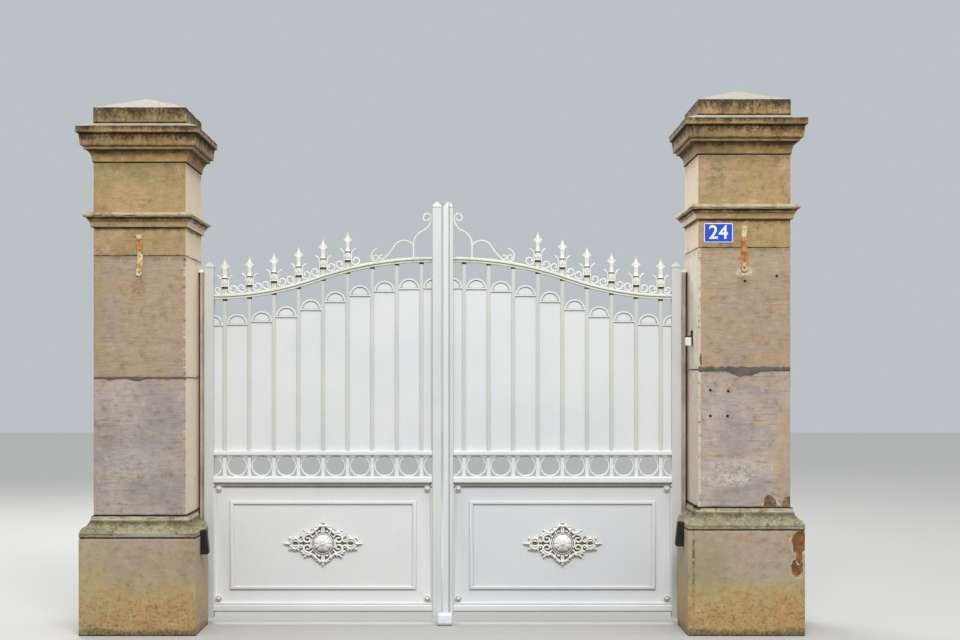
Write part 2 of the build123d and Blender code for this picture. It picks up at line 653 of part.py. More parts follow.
def spear(x):
    """A cast spear that stands on the top rail above a bar."""
    half = BAR / 2
    block_top = SPEAR_BLOCK_FOOT + SPEAR_BLOCK_HEIGHT
    stem = block((-half, half), (-half, half), (-half, block_top))
    body = Pos(0, 0, (SPEAR_BLOCK_FOOT + block_top) / 2) * Box(
        SPEAR_BLOCK_WIDTH, SPEAR_BLOCK_WIDTH, SPEAR_BLOCK_HEIGHT)
    collar = Box(SPEAR_COLLAR_WIDTH, SPEAR_COLLAR_WIDTH, SPEAR_COLLAR_HEIGHT)
    collars = Pos(0, 0, SPEAR_BLOCK_FOOT) * collar + Pos(0, 0, block_top) * collar
    neck_foot = Pos(0, 0, block_top) * RegularPolygon(SPEAR_NECK_FOOT_RADIUS, 8)
    neck_top = Pos(0, 0, SPEAR_ARM_HEIGHT) * RegularPolygon(SPEAR_NECK_TOP_RADIUS, 8)
    whole = stem + body + collars + loft([neck_foot, neck_top], ruled=True) + spear_head()
    return Pos(x, LEAF_MIDDLE, ogee_height(x)) * whole


def spear_head():
    """A hollow-sided point over short blunt arms, the same from the front and from the side."""
    foot = (SPEAR_HEAD_FOOT, SPEAR_HEAD_FOOT_HEIGHT)
    arm = (SPEAR_ARM, SPEAR_ARM_HEIGHT)
    arm_foot = (SPEAR_ARM, SPEAR_ARM_HEIGHT - SPEAR_ARM_THICKNESS)
    tip = (SPEAR_TIP, SPEAR_TIP_HEIGHT)
    lines = [SagittaArc(foot, arm_foot, SPEAR_UNDERCUT), Line(arm_foot, arm)]
    lines.append(SagittaArc(arm, tip, SPEAR_HOLLOW))
    return mitred(closed(lines, [(0, SPEAR_TIP_HEIGHT), (0, SPEAR_HEAD_FOOT_HEIGHT)]))


def spears():
    whole = Part()
    for x in SPEAR_CENTRES:
        whole += spear(x)
    return whole - below_rail(TOP_RAIL_HEIGHT / 2)


def flat_bar(lines):
    """Flat bar bent along tangent lines, standing on edge in the leaf's middle."""
    return plate(trace(lines, SCROLL_BAR), LEAF_MIDDLE - SCROLL_DEPTH / 2, SCROLL_DEPTH)


def volute(x, radius, side, shoulder_height, ear_tip):
    """A volute that rests on the top rail, with an ear that leaves its side upwards.

    side is +1 where the ear stands on the volute's left and -1 on its right.
    """
    z = ogee_height(x, (TOP_RAIL_HEIGHT + SCROLL_BAR) / 2 + radius + SEAT)
    start = (x - side * radius, z)
    shoulder = (start[0], shoulder_height)
    outer = JernArc(start, (0, -1), radius, side * 180)
    upper = JernArc(outer @ 1, outer % 1, radius * VOLUTE_UPPER, side * 180)
    eye = JernArc(upper @ 1, upper % 1, radius * VOLUTE_EYE, side * VOLUTE_EYE_TURN)
    ear = TangentArc(shoulder, ear_tip, tangent=(0, 1))
    return flat_bar([ear, Line(shoulder, start), outer, upper, eye])


def spear_scroll(x, side):
    """The scroll on one side of a spear, as large as the room to its neighbour allows."""
    level = ogee_height(x)
    flank = SPEAR_COLLAR_WIDTH / 2 + SEAT + SCROLL_BAR / 2
    room = min(BAR_PITCH / 2, HINGE_INNER - x if side > 0 else BAR_PITCH)
    radius = (room - flank - SCROLL_BAR / 2 - SEAT) / 2
    tip = (x + side * EAR_REACH, level + EAR_HEIGHT)
    return volute(x + side * (flank + radius), radius, side, level + EAR_SHOULDER, tip)


def stem_scroll():
    """The tall scroll against the meeting stile, with the arch that springs from its stem."""
    start = (MEETING_INNER + SEAT + SCROLL_BAR / 2, TOP_RAIL_HIGH_END + CURL_RISE)
    x = MEETING_INNER + STEM_OFFSET
    stem_top = (x, TOP_RAIL_HIGH_END + STEM_TOP_RISE)
    eye = JernArc(start, (0, 1), CURL_RADIUS, -180)
    inner = JernArc(eye @ 1, eye % 1, CURL_RADIUS * VOLUTE_UPPER, -180)
    curve = reverse_curve(start, stem_top, (0, -1))
    stem = flat_bar([inner, eye, *curve, Line(stem_top, (x, ogee_height(x)))])
    heading = (cos(radians(ARCH_TURN / 2)), sin(radians(ARCH_TURN / 2)))
    arch = JernArc((x, TOP_RAIL_HIGH_END + ARCH_FOOT_RISE), heading, ARCH_RADIUS, -ARCH_TURN)
    curl_x = MEETING_INNER + ARCH_CURL_OFFSET
    foot = (curl_x, ogee_height(curl_x, TOP_RAIL_HEIGHT / 2 + SCROLL_BAR))
    fall = TangentArc(arch @ 1, foot, tangent=arch % 1)
    curl = JernArc(foot, fall % 1, ARCH_CURL_RADIUS, ARCH_CURL_TURN)
    return stem + flat_bar([arch, fall, curl])


def scrolls():
    whole = stem_scroll()
    x = MEETING_INNER + SMALL_VOLUTE_OFFSET
    level = ogee_height(x)
    shoulder = level + SMALL_SHOULDER_RISE
    whole += volute(x, SMALL_VOLUTE_RADIUS, -1, shoulder, (x - SMALL_EAR_REACH, level + SMALL_EAR_HEIGHT))
    for x in SPEAR_CENTRES:
        for side in (-1, 1):
            whole += spear_scroll(x, side)
    return whole - below_rail(TOP_RAIL_HEIGHT / 2)


def cover_strip():
    """A flat strip on the right leaf's meeting stile."""
    front = LEAF_FRONT - COVER_STRIP_THICKNESS
    edge = MEETING_EDGE - COVER_STRIP_OVERHANG
    xs = (edge, edge + COVER_STRIP_WIDTH)
    return block(xs, (front, LEAF_FRONT), (MEETING_STILE_FOOT, MEETING_STILE_TOP))


def leaf(side, sign):
    """All the pieces of one leaf."""
    pieces = {
        "hinge_stile": hinge_stile(),
        "meeting_stile": meeting_stile(),
        "top_rail": top_rail(),
        "upper_mid_rail": level_rail(UPPER_RAIL_FOOT, UPPER_RAIL_HEIGHT, 0),
        "lower_mid_rail": level_rail(LOWER_RAIL_FOOT, LOWER_RAIL_HEIGHT, LOWER_RAIL_OVERHANG),
        "bottom_rail": level_rail(BOTTOM_RAIL_FOOT, BOTTOM_RAIL_HEIGHT, 0),
        "bars": bars(),
        "slats": slats(),
        "ring_band": ring_band(),
        "kick_panel": kick_panel(),
        "rosette": rosette(),
        "spears": spears(),
        "scrolls": scrolls(),
    }
    return {f"{side}_{name}": handed(piece, sign) for name, piece in pieces.items()}


# What is fixed to the piers

def jamb():
    """The fixed jamb on the right shaft's inner face, with the lugs and pins of the hinges."""
    xs = (SHAFT_FACE - JAMB_WIDTH, SHAFT_FACE)
    ys = (JAMB_FRONT, JAMB_FRONT + JAMB_DEPTH)
    whole = block(xs, ys, (0, JAMB_TOP))
    width, depth = JAMB_REBATE
    whole -= block((SHAFT_FACE - width, SHAFT_FACE), (JAMB_FRONT, JAMB_FRONT + depth), (0, JAMB_TOP))
    cap = mitred(*[slope(size / 2, size / 6, JAMB_CAP_RISE) for size in (JAMB_WIDTH, JAMB_DEPTH)])
    whole += Pos(SHAFT_FACE - JAMB_WIDTH / 2, JAMB_FRONT + JAMB_DEPTH / 2, JAMB_TOP) * cap
    for height in HINGE_HEIGHTS:
        whole += Pos(AXIS_X, AXIS_DEPTH, height - LUG_THICKNESS / 2) * Cylinder(EYE_RADIUS, LUG_THICKNESS)
        whole += block((AXIS_X, xs[0]), (AXIS_DEPTH - EYE_RADIUS, AXIS_DEPTH + EYE_RADIUS),
                       (height - LUG_THICKNESS, height))
        pin_height = EYE_HEIGHT + LUG_THICKNESS
        whole += Pos(AXIS_X, AXIS_DEPTH, height + pin_height / 2) * Cylinder(PIN_RADIUS, pin_height)
    return whole


def photocell(side):
    """A cover that leans out towards its rounded foot."""
    width, depth, height = PHOTOCELL_SIZE
    face = SHAFT_FACE - PLINTH_PROJECTION
    top = PLINTH_HEIGHTS[side] + PHOTOCELL_RISE
    outline = make_face(Polyline((face, top), (face - PHOTOCELL_TOP_WIDTH, top),
                                 (face - width, top - height), (face, top - height), close=True))
    outline = fillet(outline.vertices().sort_by(Axis.X)[0], PHOTOCELL_ROUNDING)
    return plate(outline, PHOTOCELL_DEPTH - depth / 2, depth)


def sensor_box():
    width, depth, height = SENSOR_BOX_SIZE
    face = SHAFT_FACE
    ys = (SENSOR_DEPTH - depth / 2, SENSOR_DEPTH + depth / 2)
    top = SENSOR_FOOT + height
    bracket = block((face - SENSOR_BRACKET, face), ys, (SENSOR_FOOT, top + SENSOR_BRACKET_RISE))
    bracket += block((face - SENSOR_BRACKET - width, face), ys, (top, top + SENSOR_BRACKET))
    box = block((face - SENSOR_BRACKET - width, face - SENSOR_BRACKET), ys, (SENSOR_FOOT, top))
    box = chamfer(box.edges().group_by(Axis.X)[0], SENSOR_ROUNDING)
    return {"right_sensor_bracket": bracket, "right_sensor_box": box}


def iron_strap(side):
    below, above = STRAP_SPANS[side]
    low, high = CAPITAL_FOOT[side] - below, CAPITAL_FOOT[side] + above
    face = -SHAFT_WIDTH / 2
    strap = block((PIER_CENTRE - STRAP_WIDTH / 2, PIER_CENTRE + STRAP_WIDTH / 2),
                  (face - STRAP_THICKNESS, face), (low, high))
    hole = Pos(PIER_CENTRE, face - STRAP_THICKNESS / 2, low + STRAP_WIDTH / 2)
    return strap - hole * (Rot(90, 0, 0) * Cylinder(STRAP_HOLE_RADIUS, 2 * STRAP_THICKNESS))


def number_plate():
    width, thickness, height = PLATE_SIZE
    face = -SHAFT_WIDTH / 2
    middle = CAPITAL_FOOT["right"] + PLATE_RISE
    return block((PLATE_X - width / 2, PLATE_X + width / 2), (face - thickness, face),
                 (middle - height / 2, middle + height / 2))


def ground_stop():
    """The cast stop on the ground in front of the two meeting stiles."""
    width, depth, height = STOP_SIZE
    body = block((STOP_CENTRE - width / 2, STOP_CENTRE + width / 2), (STOP_BACK - depth, STOP_BACK),
                 (0, height))
    return chamfer(body.edges().group_by(Axis.Z)[-1], STOP_CHAMFER)


def assembly():
    pieces = {}
    for side, sign in (("left", -1), ("right", 1)):
        pieces |= pier(side, sign)
        pieces |= leaf(side, sign)
        pieces[f"{side}_jamb"] = handed(jamb(), sign)
        pieces[f"{side}_photocell"] = handed(photocell(side), sign)
        pieces[f"{side}_iron_strap"] = handed(iron_strap(side), sign)
    pieces |= sensor_box()
    pieces["right_cover_strip"] = cover_strip()
    pieces["number_plate"] = number_plate()
    pieces["ground_stop"] = ground_stop()
    return pieces


os.makedirs("parts", exist_ok=True)
for name, piece in assembly().items():
    export_step(piece, f"parts/{name}.step")
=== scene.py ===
# %% [markdown]
# # A driveway gate between two sandstone piers
# The gate comes in as a fixed frame of named parts, each at its real size in metres, with the
# ground at z = 0 and the front towards -Y. This file dresses that frame: it rounds the edges that
# a maker would round, models the small pieces and gives every surface its finish.

# %% Load the frame
import math

import bpy
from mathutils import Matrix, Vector, noise


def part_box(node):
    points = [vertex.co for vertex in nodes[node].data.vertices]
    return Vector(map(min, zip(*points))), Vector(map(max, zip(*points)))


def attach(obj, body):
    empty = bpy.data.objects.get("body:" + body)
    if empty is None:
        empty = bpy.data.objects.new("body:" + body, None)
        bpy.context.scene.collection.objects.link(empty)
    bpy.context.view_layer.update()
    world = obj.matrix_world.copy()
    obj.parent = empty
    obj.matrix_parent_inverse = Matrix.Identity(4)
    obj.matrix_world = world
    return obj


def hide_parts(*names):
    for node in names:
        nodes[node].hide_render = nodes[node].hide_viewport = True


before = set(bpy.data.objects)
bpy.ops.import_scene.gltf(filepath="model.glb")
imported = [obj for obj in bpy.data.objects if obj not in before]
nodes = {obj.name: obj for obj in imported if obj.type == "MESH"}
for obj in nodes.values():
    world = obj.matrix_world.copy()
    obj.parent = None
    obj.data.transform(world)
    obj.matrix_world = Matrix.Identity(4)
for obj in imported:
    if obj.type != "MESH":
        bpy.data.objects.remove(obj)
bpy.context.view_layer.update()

# %% [markdown]
# ## Helpers for modelling
# Every operator works on what is selected, so each piece starts with an empty selection. Faces,
# edges and points are then picked in code, by where they are or which way they look.

# %% Select and edit
MM = 0.001
SIDES = ("left", "right")
TO_FRONT = (math.radians(90), 0, 0)    # turns the axis of a new piece towards the road


def clear_selection():
    if bpy.context.object and bpy.context.object.mode != "OBJECT":
        bpy.ops.object.mode_set(mode="OBJECT")
    bpy.ops.object.select_all(action="DESELECT")


def pick(*pieces):
    """Select these pieces and nothing else, the first of them active."""
    clear_selection()
    for piece in pieces:
        piece.select_set(True)
    bpy.context.view_layer.objects.active = pieces[0]


def edit(piece, wanted=None, kind="FACE"):
    """Enter edit mode with the faces, edges or points for which wanted() is true, or with all."""
    pick(piece)
    bpy.ops.object.mode_set(mode="EDIT")
    bpy.ops.mesh.select_mode(type=kind)
    bpy.ops.mesh.select_all(action="DESELECT" if wanted else "SELECT")
    if wanted:
        bpy.ops.object.mode_set(mode="OBJECT")
        mesh = piece.data
        for part in {"FACE": mesh.polygons, "EDGE": mesh.edges, "VERT": mesh.vertices}[kind]:
            part.select = bool(wanted(part))
        bpy.ops.object.mode_set(mode="EDIT")


def leave_edit():
    bpy.ops.object.mode_set(mode="OBJECT")


clear_selection()
print("selected:", len(bpy.context.selected_objects))


# %% Name a piece and finish its edges
def named(piece, name):
    piece.name = name
    piece.data.name = name
    return piece


def settle(piece, name):
    """Name a piece and move its place into its mesh."""
    pick(piece)
    bpy.ops.object.transform_apply(location=True, rotation=True, scale=True)
    return named(piece, name)


def apply(piece, kind, **settings):
    """Add one modifier, set it up and apply it."""
    pick(piece)
    modifier = piece.modifiers.new(kind.title(), kind)
    for key, value in settings.items():
        setattr(modifier, key, value)
    bpy.ops.object.modifier_apply(modifier=modifier.name)
    return piece


def bevel(piece, width, angle=30):
    """Round the edges that are sharper than an angle by a width in millimetres."""
    return apply(piece, "BEVEL", width=width * MM, segments=2, limit_method="ANGLE",
                 angle_limit=math.radians(angle))


def smooth(piece, degrees=35):
    pick(piece)
    bpy.ops.object.shade_smooth_by_angle(angle=math.radians(degrees))
    return piece


print("pieces are finished with bevels and smooth shading")


# %% Copy, join and hand over pieces
def copy_of_node(node, name):
    """A copy of one CAD part, with its loose triangles merged into plain faces."""
    piece = nodes[node].copy()
    piece.data = nodes[node].data.copy()
    piece.parent = None
    for key in list(piece.keys()):
        del piece[key]
    bpy.context.scene.collection.objects.link(piece)
    edit(named(piece, name))
    bpy.ops.mesh.remove_doubles(threshold=0.02 * MM)
    bpy.ops.mesh.dissolve_limited(angle_limit=math.radians(0.6))
    leave_edit()
    return piece


def join(pieces, name):
    pick(*pieces)
    if len(pieces) > 1:
        bpy.ops.object.join()
    return named(bpy.context.object, name)


def duplicate(piece, name, shift=(0, 0, 0)):
    """A copy with its own mesh, moved inside its mesh."""
    twin = piece.copy()
    twin.data = piece.data.copy()
    bpy.context.scene.collection.objects.link(twin)
    for vertex in twin.data.vertices:
        vertex.co += Vector(shift)
    return named(twin, name)


def deliver(piece, finish, body, instead_of=None):
    """Give a piece its finish, slot and body; it may take the place of one CAD part."""
    piece.data.materials.clear()
    piece.data.materials.append(finish)
    if instead_of:
        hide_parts(instead_of)
    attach(piece, body)
    return piece


print("helpers ready for", len(nodes), "nodes")

# %% [markdown]
# ## Shader sums
# A finish is mostly masks: where it is dirty, where the sun never dries it, where the paint has
# worn. Written as sums they read like sums, so one small class stands for a socket and turns
# plus, times and the rest into Math nodes.

# %% A wire that adds up
def math_node(operation, swapped=False):
    """A method that adds one Math node."""
    def method(self, other=0):
        first, second = (other, self) if swapped else (self, other)
        return self.tree.node("ShaderNodeMath", {0: first, 1: second}, operation=operation)
    return method


class Wire:
    """One output in a shader, usable in sums."""

    def __init__(self, tree, socket):
        self.tree = tree
        self.socket = socket

    __add__ = __radd__ = math_node("ADD")
    __mul__ = __rmul__ = math_node("MULTIPLY")
    __sub__ = math_node("SUBTRACT")
    __rsub__ = math_node("SUBTRACT", swapped=True)
    __truediv__ = math_node("DIVIDE")
    __pow__ = math_node("POWER")
    __abs__ = math_node("ABSOLUTE")
    smaller = math_node("MINIMUM")
    larger = math_node("MAXIMUM")

    def ramp(self, low, high):
        """0 below low and 1 above high, with a soft step between; low may be the larger."""
        sockets = {0: self, 1: low, 2: high, 3: 0.0, 4: 1.0}
        return self.tree.node("ShaderNodeMapRange", sockets, interpolation_type="SMOOTHSTEP")


print("wires add with +, -, *, / and **")


# %% A tree of nodes
def linear(colour):
    """A colour as a paint card gives it, 0 to 255, made linear for the shader."""
    shares = [c / 255 for c in colour]
    return [c / 12.92 if c <= 0.04045 else ((c + 0.055) / 1.055) ** 2.4 for c in shares]


class Tree:
    """A node tree, of the world or of one material."""

    def __init__(self, node_tree):
        self.node_tree = node_tree

    def feed(self, socket, value):
        """Give a socket a wire or a value; a colour is a paint card's three numbers."""
        if isinstance(value, Wire):
            self.node_tree.links.new(value.socket, socket)
        elif isinstance(value, tuple) and len(value) == 3 and len(socket.default_value) == 4:
            socket.default_value = (*linear(value), 1)
        else:
            socket.default_value = value

    def node(self, kind, sockets, out=0, **settings):
        """Any node: its settings first, then the values or wires of its sockets."""
        made = self.node_tree.nodes.new(kind)
        for key, value in settings.items():
            setattr(made, key, value)
        for key, value in sockets.items():
            self.feed(made.inputs[key], value)
        return made if out is None else Wire(self, made.outputs[out])

    def split(self, vector):
        """The three parts of a vector."""
        parts = self.node("ShaderNodeSeparateXYZ", {0: vector}, out=None)
        return [Wire(self, parts.outputs[i]) for i in range(3)]

    def mix_shaders(self, mask, under, over, output):
        mixed = self.node("ShaderNodeMixShader", {0: mask, 1: under, 2: over})
        self.node_tree.links.new(mixed.socket, self.node_tree.nodes[output].inputs["Surface"])


print("a mid ivory is", [round(c, 3) for c in linear((224, 223, 214))])


# %% The bench where a finish is built up
class Bench(Tree):
    """The node tree of one material, which is built up in coats."""

    def __init__(self, name, colour=None):
        self.material = bpy.data.materials.new(name)
        self.material.use_nodes = True
        super().__init__(self.material.node_tree)
        self.shader = self.node_tree.nodes["Principled BSDF"]
        self.colour = colour
        coordinates = self.node("ShaderNodeTexCoord", {}, out=None)
        self.place = Wire(self, coordinates.outputs["Object"])
        self.facing = self.split(Wire(self, coordinates.outputs["Normal"]))
        self.x, self.y, self.z = self.split(self.place)

    def cloud(self, scale, detail=3.0, roughness=0.55, squeeze=None, shift=(0, 0, 0)):
        """Soft noise from 0 to 1; scale is in lumps to the metre, squeeze packs them on an axis."""
        where = self.place
        if squeeze:
            sockets = {"Vector": where, "Scale": squeeze, "Location": shift}
            where = self.node("ShaderNodeMapping", sockets)
        sockets = {"Vector": where, "Scale": scale, "Detail": detail, "Roughness": roughness}
        return self.node("ShaderNodeTexNoise", sockets)

    def blend(self, mask, under, over, kind="MIX"):
        sockets = {0: mask, 6: under, 7: over}
        return self.node("ShaderNodeMix", sockets, out=2, data_type="RGBA", blend_type=kind)

    def lay(self, mask, over, kind="MIX"):
        """Lay a coat over the colour so far, where the mask lets it."""
        self.colour = self.blend(mask, self.colour, over, kind)

    def finish(self, roughness, height=None, strength=1.0, depth=MM, **constants):
        """Wire the colour up with its gloss and with the fine relief that a height gives."""
        self.feed(self.shader.inputs["Base Color"], self.colour)
        self.feed(self.shader.inputs["Roughness"], roughness)
        if height:
            sockets = {"Strength": strength, "Distance": depth, "Height": height}
            self.feed(self.shader.inputs["Normal"], self.node("ShaderNodeBump", sockets))
        for name, value in constants.items():
            self.feed(self.shader.inputs[name.replace("_", " ")], value)
        return self.material


print("a finish is clouds laid coat over coat")

# %% [markdown]
# ## The camera
# It stands in the road at eye height, a little right of the middle, and looks level at the gate.
# Its shift slides the view up without tilting it, so posts stay upright.

# %% Camera
CAMERA_PLACE = (0.100, -8.138, 1.309)
CAMERA_LENS = 57.5
CAMERA_SHIFT = (0.0194, 0.0625)

camera_data = bpy.data.cameras.new("camera")
camera = bpy.data.objects.new("camera", camera_data)
bpy.context.scene.collection.objects.link(camera)
camera.location = CAMERA_PLACE
camera.rotation_euler = TO_FRONT
camera_data.lens = CAMERA_LENS
camera_data.sensor_width = 36
camera_data.shift_x, camera_data.shift_y = CAMERA_SHIFT
camera_data.clip_end = 200
bpy.context.scene.camera = camera
print("camera at", CAMERA_PLACE)

# %% [markdown]
# ## Light and floor
# The day is overcast: the sky above is the lamp. A pale world does most of it, brightest overhead
# and dim below the horizon, one large soft panel high in front gives the mouldings their shadows,
# and another fills the back. A plain pale floor holds the contact shadow. The backdrop is only a
# colour that the camera sees.

# %% An overcast sky
ZENITH = 1.25
HORIZON = 0.55
GROUND_GLOW = 0.3
SKY_BLUE = (0.93, 0.97, 1.0, 1)    # four numbers are the shader's own, linear already
BACKDROP = (188, 193, 198)

bpy.context.scene.view_settings.view_transform = "Standard"
world = bpy.data.worlds.new("overcast")
bpy.context.scene.world = world
world.use_nodes = True
sky = Tree(world.node_tree)
height = sky.split(sky.node("ShaderNodeTexCoord", {}, out="Generated"))[2]


def between(low, high, at_low, at_high):
    sockets = {"Value": height, "From Min": low, "From Max": high, "To Min": at_low, "To Max": at_high}
    return sky.node("ShaderNodeMapRange", sockets)


background = world.node_tree.nodes["Background"]
sky.feed(background.inputs["Color"], SKY_BLUE)
strength = between(0, 1, HORIZON, ZENITH) * between(-0.06, 0.02, GROUND_GLOW, 1)
sky.feed(background.inputs["Strength"], strength)
backdrop = sky.node("ShaderNodeBackground", {"Color": BACKDROP, "Strength": 1.0})
ray = sky.node("ShaderNodeLightPath", {}, out=None)
seen = Wire(sky, ray.outputs["Is Camera Ray"])
for kind in ("Is Glossy Ray", "Is Transmission Ray"):
    seen = seen.larger(Wire(sky, ray.outputs[kind]))
sky.mix_shaders(seen, Wire(sky, background.outputs[0]), backdrop, "World Output")
print("sky from", HORIZON, "at the horizon to", ZENITH, "overhead")


# %% Soft panels and floor
FLOOR = (180, 178, 174)
ROAD = (128, 122, 112)    # what the floor gives back to the gate, like the paving it stands on


def soft_panel(name, place, size, watts, colour):
    lamp_data = bpy.data.lights.new(name, "AREA")
    lamp_data.shape = "RECTANGLE"
    lamp_data.size, lamp_data.size_y = size
    lamp_data.energy = watts
    lamp_data.color = colour
    lamp = bpy.data.objects.new(name, lamp_data)
    bpy.context.scene.collection.objects.link(lamp)
    lamp.location = place
    towards_gate = Vector((0, 0, 1.2)) - Vector(place)
    lamp.rotation_euler = towards_gate.to_track_quat("-Z", "Y").to_euler()


soft_panel("front_sky", (0.8, -6.3, 7.5), (3.2, 2.4), 590, (1.0, 0.995, 0.98))
soft_panel("back_sky", (-3.0, 6.5, 7.0), (5, 3), 520, (0.97, 0.985, 1.0))

clear_selection()
bpy.ops.mesh.primitive_plane_add(size=60, location=(0, 0, 0))
floor = settle(bpy.context.object, "floor")
bench = Bench("plain_floor", FLOOR)
bench.finish(0.85)
road = bench.node("ShaderNodeBsdfDiffuse", {"Color": ROAD})
ray = bench.node("ShaderNodeLightPath", {}, out="Is Camera Ray")
bench.mix_shaders(ray, road, Wire(bench, bench.shader.outputs[0]), "Material Output")
floor.data.materials.append(bench.material)
print("floor and 2 soft panels")

# %% [markdown]
# ## Sandstone
# Old sandstone is never one colour. Broad clouds of pink-grey and tan show its beds, fine level lines
# are left by the mason's chisel, runs of soot start under each ledge, and green sits where water
# stands. A painted picture of stone would need image files and would stretch on the returns, so the
# colours come from noise that reads the place of each point in metres, laid coat over coat.

# %% Coats that only some stones have
WASHED = 0.75                 # how pale the washed arris of the right pier is


def damp_foot(bench, top, damp):
    """Ochre, rust, specks of dirt and algae where a plinth stays wet."""
    ragged = bench.z + (bench.cloud(7, 5, 0.7) - 0.5) * 0.2
    bench.lay(ragged.ramp(top + 0.1, top - 0.1), damp)
    rusty = bench.cloud(15, 6, 0.8).ramp(0.42, 0.6) * ragged.ramp(top - 0.03, top - 0.13)
    bench.lay(rusty * 0.6, (184, 134, 92))
    specks = bench.cloud(64, 6, 0.8).ramp(0.5, 0.62) * ragged.ramp(top + 0.02, top - 0.16)
    bench.lay(specks * 0.7, (98, 80, 52))
    clumps = bench.cloud(30, 6, 0.8)
    wet_line = bench.z + (bench.cloud(6, 5, 0.7) - 0.5) * 0.12
    earth = (wet_line.ramp(0.075, 0.0) * 0.9 + clumps - 0.84).ramp(0.0, 0.4)
    algae = bench.blend(bench.cloud(90, 4, 0.7).ramp(0.4, 0.6), (66, 70, 38), (128, 126, 78))
    bench.lay(earth * 0.85, algae)


def worn_arris(bench, corner_x, corner_y, washed):
    """Nicks up the arris beside the gate; a washed one is pale as well, and on its side face that pale
    is partly painted light, brightened to offset the shade there.
    """
    if washed:
        # On the inner side face the washed pale is partly painted light, brightened to offset the shade
        # there.
        pale = bench.y.ramp(corner_y + 0.36, corner_y + 0.26) * bench.cloud(11, 5, 0.7).ramp(0.26, 0.5)
        bench.lay(pale * bench.facing[0].ramp(-0.6, -0.95) * WASHED, (252, 248, 244))
        worn = bench.x.ramp(corner_x + 18 * MM, corner_x + 9 * MM)
        bench.lay(worn * bench.cloud(13, 6, 0.75).ramp(0.3, 0.52) * WASHED, (216, 202, 184))
    near = abs(bench.x - corner_x).ramp(20 * MM, 6 * MM) * abs(bench.y - corner_y).ramp(20 * MM, 6 * MM)
    nicks = bench.cloud(42, 4, 0.7, (0.35, 0.35, 1.5), (0, 0, corner_x))
    bench.lay(nicks.ramp(0.56, 0.62) * near * 0.7, (98, 78, 58))
    pale_nicks = nicks.ramp(0.46, 0.4) * near * bench.cloud(8, 2).ramp(0.4, 0.6)
    bench.lay(pale_nicks * 0.7, (226, 212, 190))


print("a washed arris is", WASHED, "pale")


# %% Runs and marks
SOOT = (44, 34, 24)
BROWN_STAIN = (92, 72, 44)
SCAR_SOFTNESS = 0.2           # a mark with a harder edge than this is a scar, sunk into the stone


def soot_run(bench, top, reach, amount):
    """Brown and black streaks that start under a ledge and fade out below it."""
    streak = bench.cloud(17, 6, 0.78, (1, 1, 0.4))
    blotch = bench.cloud(78, 6, 0.85)
    depth = (bench.z - (top - reach)) / reach
    within = bench.z.ramp(top + 2 * MM, top - 1 * MM)
    brown = (depth * 0.5 + streak * 0.9 + blotch * 0.5 - 0.86).ramp(0.0, 0.3) * within
    bench.lay(brown * amount, BROWN_STAIN)
    black = (depth * 0.45 + streak * 0.7 + blotch - 1.1).ramp(0.0, 0.24) * within
    bench.lay(black * amount, SOOT)


def front_mark(bench, fine, x, z, half_width, half_height, colour, softness):
    """An ellipse on the front face, frayed by noise; a scar has a pale rim and a rough floor."""
    distance = ((bench.x - x) / half_width) ** 2 + ((bench.z - z) / half_height) ** 2
    edge = distance + (bench.cloud(20, 6, 0.75) - 0.5) * (2.4 + 3.0 * softness)
    in_front = bench.facing[1].ramp(-0.4, -0.8)
    mask = edge.ramp(1.0 + softness, 1.0 - softness) * in_front
    if softness > 0.5:
        mask = mask * bench.cloud(48, 5, 0.75, (1, 1, 1.6)).ramp(0.38, 0.62) * 0.8
    if softness < SCAR_SOFTNESS:
        rim = edge.ramp(1.6, 1.2) * bench.cloud(24, 4, 0.7).ramp(0.48, 0.6) * in_front
        bench.lay(rim * 0.8, (222, 208, 184))
        colour = bench.blend(fine.ramp(0.4, 0.6), colour, (104, 72, 44))
    bench.lay(mask, colour)


print("soot is", SOOT, "on a paint card")

# %% [markdown]
# The coats that every stone has go on in the order in which they came on the real one: beds and
# tint, then grain, chisel lines and pits, then moss and lichen, and last the dark joint round the
# stone. The last coats' heights also give its fine relief. Two coats are painted light rather than
# stone: paler side faces, and pale highlights along the rounded mouldings.

# %% Sandstone finish
GLOW = (0.16, 0.13, 0.09, 1)  # screened over the stone where grains are paler
GRAIN_DIRT = (118, 96, 70)


